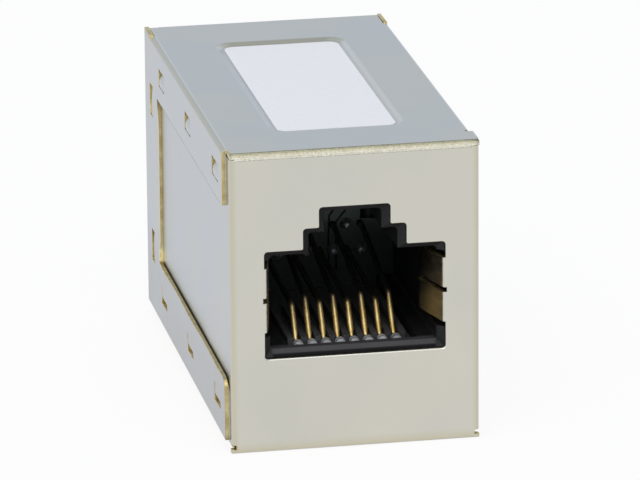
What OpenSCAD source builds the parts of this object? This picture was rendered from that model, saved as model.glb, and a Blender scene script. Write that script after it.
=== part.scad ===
// Shielded in-line coupler for two eight-contact modular plugs.
// One folded sheet wraps two moulded jacks that meet on an upright circuit board.
// Frame: X across, Y along the plugs' travel with the front port at -Y, Z up from the bottom.

/* [Shield] */
// Width across the front plate
plate_w = 17.9; // [17.7:0.1:22]
// Height of the folded shield
shield_h = 22.2; // [21.7:0.1:28]
// Length from the face of one port to the face of the other
shield_l = 34.6; // [34:0.1:48]
// Thickness of the sheet
sheet_t = 0.3; // [0.2:0.05:0.4]
// Inside radius of the folds
fold_r = 0.05; // [0.05:0.05:0.25]
// Air between two layers of sheet that lie on each other
layer_gap = 0.03; // [0.03:0.01:0.1]
// Side of the opening left at a corner where two folds meet
corner_relief = 0.3; // [0.2:0.05:0.5]
// Height of the upper strip of the left outer panel
top_strip_h = 4.1; // [3.6:0.1:5]
// Height of the upper edge of the left outer panel's lower strip
low_strip_top = 5.4; // [4.8:0.1:6]
// Length of the rear strip of the left outer panel
rear_strip_l = 5.3; // [4.6:0.1:6]
// Distance of the upper strip's front edge behind the front face
top_setback = 1.1; // [0.8:0.05:1.6]
// Distance of the lower strip's front edge behind the front face
low_setback = 0.85; // [0.7:0.05:1.6]
// Radius of the lower strip's free front corner
strip_corner_r = 0.8; // [0.3:0.1:1.5]
// Height of the outer panels' lower edges above the bottom
panel_low = 0.85; // [0.7:0.05:1.2]
// Length of the slots that free the outer panels from the top panel at the rear
rear_slot_l = 2.5; // [2:0.1:3.5]
// Length of the lip folded back from the front plate's right edge
lip_fold_l = 2.2; // [1.8:0.1:3]
// Distance of the right wall inside the front plate's right edge
wall_in = 0.17; // [0.1:0.01:0.2]

/* [Catches] */
// Length of a catch window along its fold
window_l = 2.4; // [1.6:0.1:3]
// Height of a catch window across its fold
window_h = 1.3; // [1.2:0.05:1.6]
// Distance of a top window's middle below the top
top_window_drop = 2.15; // [1.8:0.05:2.6]
// Distance of a bottom window's middle above the bottom
bottom_window_rise = 3.2; // [2.8:0.05:3.6]
// Distance of a rear window's middle in front of the rear face
rear_window_in = 2.8; // [2.2:0.05:3.2]
// Height of the lower rear window's middle above the bottom
rear_window_rise = 5.9; // [5:0.1:7]
// Height between the two rear windows
rear_window_step = 11.4; // [9:0.1:12]
// Distance of the first window's middle behind the front face
first_window = 3.9; // [3:0.1:6]
// Distance of the last window's middle in front of the rear strip
last_window = 2.3; // [1.5:0.1:3]
// Space between a lance and the edge of its window
lance_gap = 0.12; // [0.08:0.02:0.16]
// Height of a lance's sloping part
lance_slope_h = 0.65; // [0.4:0.05:0.75]

/* [Label] */
// Width of the label
label_w = 8.5; // [6:0.1:10]
// Length of the label
label_l = 22.5; // [16:0.1:26]
// Thickness of the label
label_t = 0.08; // [0.05:0.01:0.12]
// Corner radius of the label
label_r = 0.8; // [0.3:0.1:1.5]
// Depth of the pressed recess that the label lies in
recess_d = 0.25; // [0.15:0.05:0.35]
// Run of the recess's sloping border
recess_run = 0.35; // [0.2:0.05:0.6]
// Space between the label and the border
recess_gap = 0.2; // [0.1:0.05:0.4]

/* [Port] */
// Width of the plug cavity
plug_w = 12; // [11.8:0.05:12.4]
// Height of the plug cavity
plug_h = 6.9; // [6.7:0.05:7.2]
// Height of the cavity's floor above the bottom of the shield
plug_z = 7.45; // [7:0.05:8]
// Width of the slot for the latch's shoulders
latch_w = 6.4; // [6.2:0.05:6.8]
// Height of the slot for the latch's shoulders
latch_h = 1.55; // [1.2:0.05:1.9]
// Width of the slot for the latch's thumb tab
thumb_w = 4.1; // [3.8:0.05:4.6]
// Height of the slot for the latch's thumb tab
thumb_h = 1.5; // [1:0.05:1.7]
// Chamfer that leads a plug into the moulding
lead_in = 0.45; // [0.3:0.05:0.6]
// Space between the moulding's mouth and the edge of the plate
mouth_gap = 0.05; // [0.02:0.01:0.1]
// Corner radius of the plate's cut-out
cutout_r = 0.25; // [0.1:0.05:0.4]

/* [Ground fingers] */
// Height of each spring finger
finger_h = 2.2; // [1.6:0.05:2.4]
// Slit between the two fingers of one side
finger_slit = 0.35; // [0.2:0.05:0.6]
// Height of the slit's middle above the cavity's floor
finger_z = 3.8; // [3.2:0.05:4.2]
// Lean of the fingers into the cavity
finger_lean = 19; // [12:1:22]
// Length of a finger between its fold and its tip's bend
finger_l = 3.8; // [3:0.1:4.4]
// Inside radius of a finger's curled tip
tip_r = 0.6; // [0.4:0.05:0.9]
// Turn of a finger's curled tip
tip_turn = 45; // [25:1:60]
// Length of a finger's tip past its bend
tip_l = 0.6; // [0.5:0.05:0.9]

/* [Contacts] */
// Distance between neighbouring contacts
contact_pitch = 1.016; // [1:0.004:1.04]
// Diameter of the contact wire
wire_d = 0.42; // [0.3:0.01:0.44]
// Clearance round a wire where it passes a slot or hole
wire_gap = 0.06; // [0.03:0.01:0.08]
// Rise of the contacts' front legs, where the plug lands
contact_slope = 55; // [48:1:60]
// Distance of the contacts' feet behind the port's face
foot_in = 3.7; // [3.5:0.05:4.2]
// Depth of the contacts' feet below the cavity's floor
foot_drop = 1.25; // [1.15:0.05:1.5]
// Length of the foot that lies under the comb
foot_l = 0.75; // [0.6:0.05:0.9]
// Height of the lower contacts' knees above the cavity's floor
low_knee = 1.65; // [1.4:0.05:1.9]
// Height of the upper contacts' knees above the cavity's floor
high_knee = 2; // [1.9:0.05:2.3]
// Height of the lower solder row above the cavity's floor
low_row = 2.1; // [1.9:0.05:2.3]
// Height between the two solder rows
row_step = 1.9; // [1.6:0.05:2]
// Bend radius of the wire
wire_r = 0.5; // [0.4:0.05:0.6]
// Length of a tail past the far face of the board
tail_out = 0.5; // [0.3:0.05:0.8]

/* [Contact sleds] */
// Width of a sled
sled_w = 9.4; // [9:0.05:10]
// Height of a sled
sled_h = 3.4; // [2.4:0.1:4]
// Depth of a sled's top below the cavity's floor
sled_drop = 0.75; // [0.65:0.05:0.85]
// Radius of the humps along the comb bar
hump_r = 0.36; // [0.3:0.01:0.4]
// Rise of the humps above the comb bar
hump_rise = 0.5; // [0.3:0.02:0.6]
// Thickness of the ribs between the contacts
rib_t = 0.4; // [0.3:0.02:0.44]
// Height of the ribs above the sled
rib_h = 0.6; // [0.3:0.05:0.7]
// Length of the ribs
rib_l = 8; // [5:0.1:9]

/* [Housings] */
// Clearance between the pieces inside the shield
fit_gap = 0.05; // [0.03:0.01:0.08]
// Depth of the raised lip below the mouth
lip_l = 1.4; // [1.2:0.05:1.8]
// Depth of the floor behind the lip below the cavity's floor
well_d = 1.05; // [0.9:0.05:1.4]
// Depth of the side pockets that the ground fingers bend into
pocket_d = 0.95; // [0.85:0.05:1.2]
// Length of the side pockets
pocket_l = 6; // [5.5:0.1:8]
// Diameter of the pegs that locate the board
peg_d = 1.2; // [0.8:0.1:1.6]
// Distance of the pegs from the sides of a housing
peg_in_x = 1.2; // [1:0.1:1.5]
// Distance of the pegs from the top and bottom of a housing
peg_in_z = 2; // [1.4:0.1:3]

/* [Circuit board] */
// Thickness of the board
board_t = 1.6; // [1:0.1:2]
// Space between the board's edges and the shield
board_gap = 0.2; // [0.1:0.05:0.4]

/* [Hidden] */
$fn = 32;
contact_n = 8;
window_n = 3;
cut = 1;
wire_sides = 12;
bend_step = 10;
fold_ro = fold_r + sheet_t;
out_w = plate_w + 2 * (sheet_t + layer_gap);
y_front = -shield_l / 2;
y_rear = shield_l / 2;
plate_x = plate_w / 2 - fold_ro;
wall_x = plate_w / 2 - wall_in;
left_fold_x = out_w / 2 - fold_ro;
right_fold_x = wall_x - fold_ro;
floor_x = plate_w / 2 - sheet_t;
plate_top = shield_h - sheet_t - layer_gap;
strip_rear = y_rear - rear_strip_l;
slot_y = y_rear - rear_slot_l;
wall_front = y_front + lip_fold_l + corner_relief;
side_z0 = fold_ro + corner_relief;
side_z1 = plate_top - corner_relief;
side_rear = y_rear - sheet_t - layer_gap;
cut_grow = lead_in + mouth_gap;
cavity_top = plug_z + plug_h;
latch_top = cavity_top + latch_h;
thumb_top = latch_top + thumb_h;
finger_root = plug_w / 2 + cut_grow + fold_ro * sin(finger_lean);
finger_low = plug_z + finger_z - finger_slit / 2 - finger_h;
finger_high = plug_z + finger_z + finger_slit / 2;
window_first_y = y_front + first_window;
window_last_y = strip_rear - last_window;
window_pitch = (window_last_y - window_first_y) / (window_n - 1);
lance_rise = sheet_t + layer_gap;
lance_l = window_l - 2 * lance_gap;
lance_h = window_h - 2 * lance_gap;
recess_floor_w = label_w + 2 * recess_gap;
recess_floor_l = label_l + 2 * recess_gap;
board_u = shield_l / 2 - board_t / 2;
board_z0 = sheet_t + board_gap;
board_z1 = shield_h - sheet_t - recess_d - board_gap;
housing_u0 = sheet_t + fit_gap;
housing_u1 = board_u - fit_gap;
housing_w = 2 * (wall_x - sheet_t - fit_gap);
housing_z0 = sheet_t + fit_gap;
housing_z1 = shield_h - sheet_t - recess_d - fit_gap;
housing_edge = fold_r + layer_gap;
slot_w = wire_d + 2 * wire_gap;
foot_z = plug_z - foot_drop;
foot_tip = foot_in - foot_l;
sled_u0 = foot_tip - wire_gap;
sled_u1 = board_u - fit_gap;
sled_z1 = plug_z - sled_drop;
sled_z0 = sled_z1 - sled_h;
bar_end = foot_in - wire_r * tan(contact_slope / 2);
slot_end = foot_in + (sled_z1 - foot_z + wire_d) / tan(contact_slope) + wire_d;
peg_x = housing_w / 2 - peg_in_x;
peg_low = housing_z0 + peg_in_z;
peg_high = housing_z1 - peg_in_z;
front_contacts = [for (i = [1:contact_n]) str("front_contact_", i)];
rear_contacts = [for (i = [1:contact_n]) str("rear_contact_", i)];

function contact_x(i) = (i - (contact_n + 1) / 2) * contact_pitch;

// A contact with an even number ends in the upper solder row.
function is_high(i) = i % 2 == 0;

function row_z(high) = plug_z + low_row + (high ? row_step : 0);

// Corners of a contact's path, as depth behind the port's face and height, from tail to foot.
function contact_path(high) =
    let (knee_z = plug_z + (high ? high_knee : low_knee))
    let (knee_in = foot_in + (knee_z - foot_z) / tan(contact_slope))
    [
        [board_u + board_t + tail_out, row_z(high)],
        [board_u - 2 * wire_r, row_z(high)],
        [knee_in, knee_z],
        [foot_in, foot_z],
        [foot_tip, foot_z]
    ];

// Corners of a ground finger's path, as width and depth behind the port's face, from the plate to the tip.
function finger_path() =
    let (fold_mid = fold_r + sheet_t / 2)
    let (fold = [finger_root - fold_mid * tan(45 - finger_lean / 2), sheet_t / 2])
    let (bend = fold + finger_l * [-sin(finger_lean), cos(finger_lean)])
    let (tip_lean = finger_lean - tip_turn)
    [
        [finger_root + fold_ro, sheet_t / 2],
        fold,
        bend,
        bend + tip_l * [-sin(tip_lean), cos(tip_lean)]
    ];

function heading(a, b) = atan2(b[1] - a[1], b[0] - a[0]);

// Turn at corner i of a path, between -180 and 180 degrees.
function turn_at(path, i) =
    let (t = heading(path[i], path[i + 1]) - heading(path[i - 1], path[i]))
    t > 180 ? t - 360 : t < -180 ? t + 360 : t;

// Stations round the bend at corner i of a path: each is a point and a heading.
function bend_stations(path, i, r) =
    let (a = heading(path[i - 1], path[i]))
    let (turn = turn_at(path, i))
    let (side = sign(turn))
    let (start = path[i] - r * tan(abs(turn) / 2) * [cos(a), sin(a)])
    let (centre = start + side * r * [-sin(a), cos(a)])
    let (steps = ceil(abs(turn) / bend_step))
    [for (k = [0:steps]) let (b = a + turn * k / steps) [centre + side * r * [sin(b), -cos(b)], b]];

// Stations along a whole path with its two ends; radii holds the radius of each inner corner.
function path_stations(path, radii) =
    let (last = len(path) - 1)
    [
        [path[0], heading(path[0], path[1])],
        for (i = [1:last - 1]) each bend_stations(path, i, radii[i - 1]),
        [path[last], heading(path[last - 1], path[last])]
    ];

// Places children, drawn with the port's face at Y = 0, at the front or the rear port.
module at_front() {
    translate([0, y_front, 0]) children();
}

module at_rear() {
    rotate([0, 0, 180]) at_front() children();
}

module both_sides() {
    children();
    mirror([1, 0, 0]) children();
}

// Turns a drawing of depth and height into the YZ plane, with its extrusion along X.
module along_x() {
    rotate([90, 0, 90]) children();
}

// Turns a drawing of width and height into the XZ plane, extruded back from its plane along Y.
module along_y(l) {
    translate([0, l, 0]) rotate([90, 0, 0]) linear_extrude(l) children();
}

// Two legs of sheet joined by a quarter bend, with the sharp outer corner at the origin.
module fold_outline(leg_a, leg_b) {
    translate([fold_ro, 0]) square([leg_a - fold_ro, sheet_t]);
    if (leg_b > fold_ro) translate([0, fold_ro]) square([sheet_t, leg_b - fold_ro]);
    intersection() {
        translate([fold_ro, fold_ro]) difference() {
            circle(fold_ro);
            circle(fold_r);
        }
        square(fold_ro);
    }
}

// Strip of sheet along a flat path of corners.
module bent_strip(path, radii) {
    stations = path_stations(path, radii);
    last = len(stations) - 1;
    sides = [for (st = stations) sheet_t / 2 * [-sin(st[1]), cos(st[1])]];
    polygon(concat([for (k = [0:last]) stations[k][0] + sides[k]],
        [for (k = [last:-1:0]) stations[k][0] - sides[k]]));
}

module round_rect(w, h, r) {
    translate([-w / 2, r]) square([w, h - 2 * r]);
    translate([-w / 2 + r, 0]) square([w - 2 * r, h]);
    for (x = [r - w / 2, w / 2 - r], y = [r, h - r]) translate([x, y]) circle(r);
}

// A rectangle with its corners cut at 45 degrees.
module cut_rect(x0, y0, x1, y1, c) {
    polygon([[x0 + c, y0], [x1 - c, y0], [x1, y0 + c], [x1, y1 - c],
        [x1 - c, y1], [x0 + c, y1], [x0, y1 - c], [x0, y0 + c]]);
}

// A pan with four sloping walls, its mouth at Z = 0 and its floor at Z = -d.
module pan(floor_w, floor_l, run, d) {
    w = floor_w + 2 * run;
    l = floor_l + 2 * run;
    intersection() {
        translate([0, -l / 2, 0]) along_y(l)
            polygon([[-floor_w / 2, -d], [floor_w / 2, -d], [w / 2, 0], [-w / 2, 0]]);
        translate([-w / 2, 0, 0]) along_x() linear_extrude(w)
            polygon([[-floor_l / 2, -d], [floor_l / 2, -d], [l / 2, 0], [-l / 2, 0]]);
    }
}

// A funnel of depth d whose mouth is wider than its throat by d at both sides, top and bottom.
module funnel(w, z0, z1, d) {
    intersection() {
        translate([0, 0, z0 - d]) linear_extrude(z1 - z0 + 2 * d)
            polygon([[-w / 2 - d, 0], [w / 2 + d, 0], [w / 2, d], [-w / 2, d]]);
        translate([-w / 2 - d, 0, 0]) along_x() linear_extrude(w + 2 * d)
            polygon([[0, z0 - d], [d, z0], [d, z1], [0, z1 + d]]);
    }
}

// Round wire of diameter d along a flat path of corners, with bends of radius r.
module bent_wire(path, r, d) {
    stations = path_stations(path, [for (p = path) r]);
    n = wire_sides;
    last = len(stations) - 1;
    rings = [
        for (s = stations, k = [0:n - 1])
            let (q = 360 * k / n)
            [s[0][0] - sin(s[1]) * cos(q) * d / 2, s[0][1] + cos(s[1]) * cos(q) * d / 2, sin(q) * d / 2]
    ];
    walls = [
        for (i = [0:last - 1], k = [0:n - 1])
            [i * n + k, i * n + (k + 1) % n, (i + 1) * n + (k + 1) % n, (i + 1) * n + k]
    ];
    ends = [[for (k = [n - 1:-1:0]) k], [for (k = [0:n - 1]) last * n + k]];
    polyhedron(rings, concat(walls, ends));
}

// Stepped outline of a port, grown outward on every side.
module port_outline(grow, r) {
    translate([0, plug_z - grow]) round_rect(plug_w + 2 * grow, plug_h + 2 * grow, r);
    translate([0, plug_z]) round_rect(latch_w + 2 * grow, latch_top - plug_z + grow, r);
    translate([0, plug_z]) round_rect(thumb_w + 2 * grow, thumb_top - plug_z + grow, r);
}

// Hole in the plate for one port, with room for the ground fingers' folds at its sides.
module port_cutout() {
    translate([0, -cut, 0]) along_y(sheet_t + 2 * cut) port_outline(cut_grow, cutout_r);
    translate([-finger_root, -cut, finger_low])
        cube([2 * finger_root, sheet_t + 2 * cut, 2 * finger_h + finger_slit]);
}

// Two spring fingers on one side of a port, folded in from the edge of the cut-out.
module ground_fingers() {
    for (z = [finger_low, finger_high]) translate([0, 0, z]) linear_extrude(finger_h)
        bent_strip(finger_path(), [fold_r + sheet_t / 2, tip_r + sheet_t / 2]);
}

// Places children at the middle of each catch of a panel whose outer face is at -x, moved to X = 0,
// with the fixed edge of its lance upward.
module at_top_catches(x) {
    for (i = [0:window_n - 1])
        translate([-x, window_first_y + i * window_pitch, shield_h - top_window_drop]) children();
}

module at_low_catches(x) {
    for (i = [0:window_n - 1])
        translate([-x, window_first_y + i * window_pitch, bottom_window_rise]) mirror([0, 0, 1]) children();
}

module at_rear_catches(x) {
    for (z = [rear_window_rise, rear_window_rise + rear_window_step])
        translate([-x, y_rear - rear_window_in, z]) rotate([-90, 0, 0]) children();
}

module at_left_catches() {
    at_top_catches(plate_w / 2) children();
    at_low_catches(plate_w / 2) children();
    at_rear_catches(plate_w / 2) children();
}

module at_right_catches() {
    mirror([1, 0, 0]) at_low_catches(wall_x) children();
}

// Opening through the layer of sheet whose inner face is at x, l along the fold and h across it.
module catch_hole(x, l, h) {
    translate([x - cut / 2, -l / 2, -h / 2]) cube([cut / 2 + sheet_t / 2, l, h]);
}

// Strip of a panel lanced out: a slope and then a flat that lies in the window of the layer over it.
module lance() {
    top = lance_h / 2;
    bend = top - lance_slope_h;
    translate([0, -lance_l / 2, 0]) along_y(lance_l)
        polygon([[0, top], [0, top + sheet_t], [sheet_t, top + sheet_t], [sheet_t, top],
            [sheet_t - lance_rise, bend], [sheet_t - lance_rise, -top],
            [-lance_rise, -top], [-lance_rise, bend]]);
}

// Front plate with the left side panel and the right lip folded back from it.
module front_layer() {
    difference() {
        union() {
            translate([-plate_x, y_front, fold_ro]) cube([2 * plate_x, sheet_t, plate_top - fold_ro]);
            translate([-plate_w / 2, y_front, side_z0]) linear_extrude(side_z1 - side_z0)
                fold_outline(plate_w / 2, side_rear - y_front);
            translate([plate_w / 2, y_front, side_z0]) mirror([1, 0, 0])
                linear_extrude(side_z1 - side_z0) fold_outline(plate_w / 2, lip_fold_l);
        }
        at_front() port_cutout();
        at_left_catches() catch_hole(sheet_t, lance_l, lance_h);
    }
    at_left_catches() lance();
}

// Bottom panel, with the fold to the front plate and a flange outside the right wall.
module bottom_layer() {
    l = slot_y - wall_front;
    translate([-plate_x, y_front, 0]) along_x() linear_extrude(2 * plate_x)
        fold_outline(shield_l / 4, shield_h / 8);
    translate([-plate_w / 2, y_front, 0]) along_x() linear_extrude(plate_w)
        fold_outline(fold_ro + corner_relief, fold_ro);
    translate([-floor_x, y_front + fold_ro, 0]) cube([2 * floor_x, shield_l - 2 * fold_ro, sheet_t]);
    difference() {
        translate([out_w / 2, wall_front, 0]) mirror([1, 0, 0]) along_y(l)
            fold_outline(out_w / 4, low_strip_top);
        at_right_catches() catch_hole(wall_x + sheet_t - out_w / 2, window_l, window_h);
    }
}

// What is cut off to round a corner that lies at the origin, with its sides along X and Y.
module corner_waste(r) {
    difference() {
        translate([-cut, -cut]) square(r + cut);
        translate([r, r]) circle(r);
    }
}

// Left outer panel as depth and height: two strips along the side panel, joined at the rear.
module left_outline() {
    z1 = shield_h - fold_ro;
    difference() {
        union() {
            translate([y_front + low_setback, panel_low])
                square([shield_l - low_setback, low_strip_top - panel_low]);
            translate([y_front + top_setback, shield_h - top_strip_h])
                square([shield_l - top_setback, z1 - shield_h + top_strip_h]);
            translate([strip_rear, panel_low]) square([rear_strip_l, z1 - panel_low]);
            translate([slot_y, panel_low]) square([rear_slot_l, shield_h - panel_low]);
        }
        translate([y_front + low_setback, low_strip_top]) mirror([0, 1]) corner_waste(strip_corner_r);
        translate([y_front + top_setback, shield_h - top_strip_h]) corner_waste(cutout_r);
    }
}

// Rear plate and top panel, with the left outer panel and the right wall folded down from the top.
module top_layer() {
    left_l = slot_y - corner_relief - y_front - top_setback;
    wall_l = slot_y - corner_relief - wall_front;
    rear_x = plate_x - corner_relief;
    difference() {
        union() {
            translate([-plate_w / 2, y_rear - sheet_t, fold_ro])
                cube([plate_w / 2 + wall_x - sheet_t - layer_gap, sheet_t, shield_h - 2 * fold_ro]);
            for (top = [0, 1]) translate([-rear_x, y_rear, top * shield_h])
                mirror([0, 0, top]) mirror([0, 1, 0]) along_x() linear_extrude(rear_x + right_fold_x)
                    fold_outline(shield_l / 4, shield_h / 8);
            translate([-left_fold_x, y_front, shield_h - sheet_t])
                cube([left_fold_x + right_fold_x, shield_l - fold_ro, sheet_t]);
            translate([0, y_front, shield_h - sheet_t]) cube([plate_w / 2, lip_fold_l, sheet_t]);
            translate([0, 0, shield_h - sheet_t])
                pan(recess_floor_w, recess_floor_l, recess_run, recess_d);
            translate([-out_w / 2, y_front + top_setback, shield_h]) mirror([0, 0, 1]) along_y(left_l)
                fold_outline(out_w / 4, top_strip_h / 2);
            translate([wall_x, wall_front, shield_h]) mirror([0, 0, 1]) mirror([1, 0, 0]) along_y(wall_l)
                fold_outline(wall_x / 2, shield_h / 4);
            translate([-out_w / 2, 0, 0]) along_x() linear_extrude(sheet_t) left_outline();
            translate([wall_x - sheet_t, wall_front, panel_low])
                cube([sheet_t, y_rear - wall_front, shield_h - fold_ro - panel_low]);
            translate([wall_x - sheet_t, slot_y, panel_low])
                cube([sheet_t, rear_slot_l, shield_h - panel_low]);
        }
        translate([0, 0, shield_h]) pan(recess_floor_w, recess_floor_l, recess_run, recess_d);
        at_rear() port_cutout();
        at_left_catches() catch_hole(-layer_gap, window_l, window_h);
        at_right_catches() catch_hole(sheet_t, lance_l, lance_h);
    }
    at_right_catches() lance();
}

module shield() {
    color("#cbc9c1") {
        front_layer();
        bottom_layer();
        top_layer();
        at_front() both_sides() ground_fingers();
        at_rear() both_sides() ground_fingers();
    }
}

module label() {
    color("white") translate([0, -label_l / 2, shield_h - recess_d])
        linear_extrude(label_t) round_rect(label_w, label_l, label_r);
}

// Block that fills one half of the shield, with its edges cut clear of the folds.
module housing_block() {
    x1 = housing_w / 2;
    l = housing_u1 - housing_u0;
    c = housing_edge;
    intersection() {
        translate([0, 0, housing_z0]) linear_extrude(housing_z1 - housing_z0)
            cut_rect(-x1, housing_u0, x1, housing_u1, c);
        translate([0, housing_u0, 0]) along_y(l) cut_rect(-x1, housing_z0, x1, housing_z1, c);
        translate([-x1, 0, 0]) along_x() linear_extrude(housing_w)
            cut_rect(housing_u0, housing_z0, housing_u1, housing_z1, c);
    }
}

// Moulded jack body with its mouth at the port, open at the back onto the board.
module jack_housing() {
    depth = housing_u1 + cut;
    pocket_h = 2 * finger_h + finger_slit + 2 * lead_in;
    difference() {
        housing_block();
        along_y(depth) port_outline(0, cutout_r);
        translate([0, housing_u0, 0]) {
            funnel(plug_w, plug_z, cavity_top, lead_in);
            funnel(latch_w, plug_z + lead_in, latch_top, lead_in);
            funnel(thumb_w, plug_z + lead_in, thumb_top, lead_in);
        }
        translate([-sled_w / 2 - fit_gap, lip_l, plug_z - well_d])
            cube([sled_w + 2 * fit_gap, depth, well_d + cut]);
        translate([-sled_w / 2 - fit_gap, sled_u0 - fit_gap, sled_z0 - fit_gap])
            cube([sled_w + 2 * fit_gap, depth, sled_h + cut]);
        translate([-plug_w / 2 - pocket_d, 0, finger_low - lead_in])
            cube([plug_w + 2 * pocket_d, pocket_l, pocket_h]);
    }
    for (p = [[-peg_x, peg_high], [peg_x, peg_low]])
        translate([p[0], housing_u1 - cut, p[1]]) rotate([-90, 0, 0])
            cylinder(d = peg_d, h = cut + board_t);
}

module front_jack_housing() {
    color("#1c1c1e") at_front() jack_housing();
}

module rear_jack_housing() {
    color("#1c1c1e") at_rear() jack_housing();
}

// Moulded comb under the contacts: a bar with humps over their feet, and ribs between them.
module contact_sled() {
    difference() {
        union() {
            translate([-sled_w / 2, sled_u0, sled_z0]) cube([sled_w, sled_u1 - sled_u0, sled_h]);
            for (i = [0:contact_n])
                translate([contact_x(i + 0.5) - rib_t / 2, bar_end, sled_z1 - sled_h / 2])
                    cube([rib_t, rib_l, sled_h / 2 + rib_h]);
            for (i = [1:contact_n])
                translate([contact_x(i), sled_u0, sled_z1 + hump_rise - hump_r])
                    rotate([-90, 0, 0]) cylinder(r = hump_r, h = bar_end - sled_u0);
        }
        for (i = [1:contact_n]) translate([contact_x(i) - slot_w / 2, 0, foot_z - slot_w / 2]) {
            cube([slot_w, slot_end, slot_w]);
            translate([0, bar_end, 0]) cube([slot_w, slot_end - bar_end, sled_h]);
        }
    }
}

module front_contact_sled() {
    color("#2a2a2c") at_front() contact_sled();
}

module rear_contact_sled() {
    color("#2a2a2c") at_rear() contact_sled();
}

// Spring contact: soldered in the board, carried forward to a knee and down to a foot under the comb.
module contact(i) {
    translate([contact_x(i), 0, 0]) along_x() bent_wire(contact_path(is_high(i)), wire_r, wire_d);
}

module front_contact(i) {
    color("#d4b35a") at_front() contact(i);
}

module rear_contact(i) {
    color("#d4b35a") at_rear() contact(i);
}

// Holes through the board for one jack's tails and pegs.
module board_holes() {
    for (i = [1:contact_n])
        translate([contact_x(i), board_u - cut, row_z(is_high(i))]) rotate([-90, 0, 0])
            cylinder(d = slot_w, h = board_t + 2 * cut);
    for (p = [[-peg_x, peg_high], [peg_x, peg_low]])
        translate([p[0], board_u - cut, p[1]]) rotate([-90, 0, 0])
            cylinder(d = peg_d + 2 * fit_gap, h = board_t + 2 * cut);
}

module circuit_board() {
    w = 2 * (wall_x - sheet_t - board_gap);
    color("#16352a") difference() {
        translate([-w / 2, -board_t / 2, board_z0]) cube([w, board_t, board_z1 - board_z0]);
        at_front() board_holes();
        at_rear() board_holes();
    }
}

shield();
label();
circuit_board();
front_jack_housing();
rear_jack_housing();
front_contact_sled();
rear_contact_sled();
for (i = [1:contact_n]) {
    front_contact(i);
    rear_contact(i);
}
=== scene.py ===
# %% [markdown]
# # A shielded in-line coupler for network plugs
# The real coupler is one folded metal shield round two moulded jacks that meet on an upright circuit board.
# The imported solids stay as they are: nothing here moves or resizes them.
# Each step dresses one piece, first its shape and then its finish.

import bpy
import numpy as np
from mathutils import Matrix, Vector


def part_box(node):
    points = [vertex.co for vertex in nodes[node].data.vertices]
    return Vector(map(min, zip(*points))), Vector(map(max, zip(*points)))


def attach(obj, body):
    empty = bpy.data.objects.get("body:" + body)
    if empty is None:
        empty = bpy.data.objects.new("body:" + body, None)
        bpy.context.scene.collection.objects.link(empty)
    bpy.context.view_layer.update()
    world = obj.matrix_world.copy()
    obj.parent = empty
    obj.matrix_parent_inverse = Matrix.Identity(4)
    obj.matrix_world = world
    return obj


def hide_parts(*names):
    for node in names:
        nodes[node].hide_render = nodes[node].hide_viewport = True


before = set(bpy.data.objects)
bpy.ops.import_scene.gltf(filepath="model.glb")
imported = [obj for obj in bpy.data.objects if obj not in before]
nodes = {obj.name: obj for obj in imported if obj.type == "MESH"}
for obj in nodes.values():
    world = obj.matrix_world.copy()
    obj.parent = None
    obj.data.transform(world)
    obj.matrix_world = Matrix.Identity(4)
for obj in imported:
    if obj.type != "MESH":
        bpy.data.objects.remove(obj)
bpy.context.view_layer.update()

# %% [markdown]
# ## Sizes
# The frame is in metres, and a coupler is easier to think of in millimetres. The outer sizes are read
# from the shield's box. The sheet's own sizes are named here once, and every piece is worked out from
# them.

# %% Sizes in millimetres
MM = 0.001
low, high = (np.array(corner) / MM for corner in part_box("shield"))
out_w, shield_l, shield_h = high - low
y_front, y_rear = low[1], high[1]
sheet_t, layer_gap, fold_ro, relief = 0.3, 0.03, 0.35, 0.3
plate_w = out_w - 2 * (sheet_t + layer_gap)
plate_x = plate_w / 2 - fold_ro
plate_top = shield_h - sheet_t - layer_gap
print("shield", np.round([out_w, shield_l, shield_h], 3), "mm, front plate", round(plate_w, 3), "mm wide")

# %% [markdown]
# ## Camera
# The picture was taken through a long lens, a little to the left and above. The camera is given by its
# azimuth, elevation and roll, and by where it sees the bottom middle of the front face: so far to the
# right, up and ahead. A camera could also be aimed with a constraint, but a matrix keeps the roll.

# %% Place the camera
image_w = 640
focal_px = 6360.1
azimuth, elevation, roll = np.radians([-10.626, 17.185, -0.447])
face_seen_at = np.array([2.581, -14.679, 451.997])


def camera_axes():
    """Rows right, up and ahead of a camera turned by azimuth and elevation, then rolled in its plane."""
    ahead = np.array([-np.sin(azimuth) * np.cos(elevation), np.cos(azimuth) * np.cos(elevation),
                      -np.sin(elevation)])
    right = np.array([np.cos(azimuth), np.sin(azimuth), 0])
    up = np.cross(right, ahead)
    c, s = np.cos(roll), np.sin(roll)
    return np.array([c * right + s * up, -s * right + c * up, ahead])


axes = camera_axes()
place = np.array([0, y_front, 0]) - axes.T @ face_seen_at
camera = bpy.data.objects.new("camera", bpy.data.cameras.new("camera"))
bpy.context.scene.collection.objects.link(camera)
turn = np.eye(4)
turn[:3, :3] = np.stack([axes[0], axes[1], -axes[2]], axis=1)
turn[:3, 3] = place * MM
camera.matrix_world = Matrix(turn.tolist())
camera.data.sensor_width = 36
camera.data.lens = focal_px / image_w * camera.data.sensor_width
camera.data.clip_start, camera.data.clip_end = 0.01, 20
bpy.context.scene.camera = camera
bpy.context.scene.view_settings.view_transform = "Standard"
print("camera at", np.round(place), "mm, lens", round(camera.data.lens), "mm")

# %% [markdown]
# ## Meshes from whole arrays
# Every new piece is worked out with numpy and handed to Blender in one go. The helper takes points in
# millimetres and rows of corner numbers. Where the exact normals are known, they are stored too, so
# that a flat panel beside a tight fold stays flat in its shading.


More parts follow.
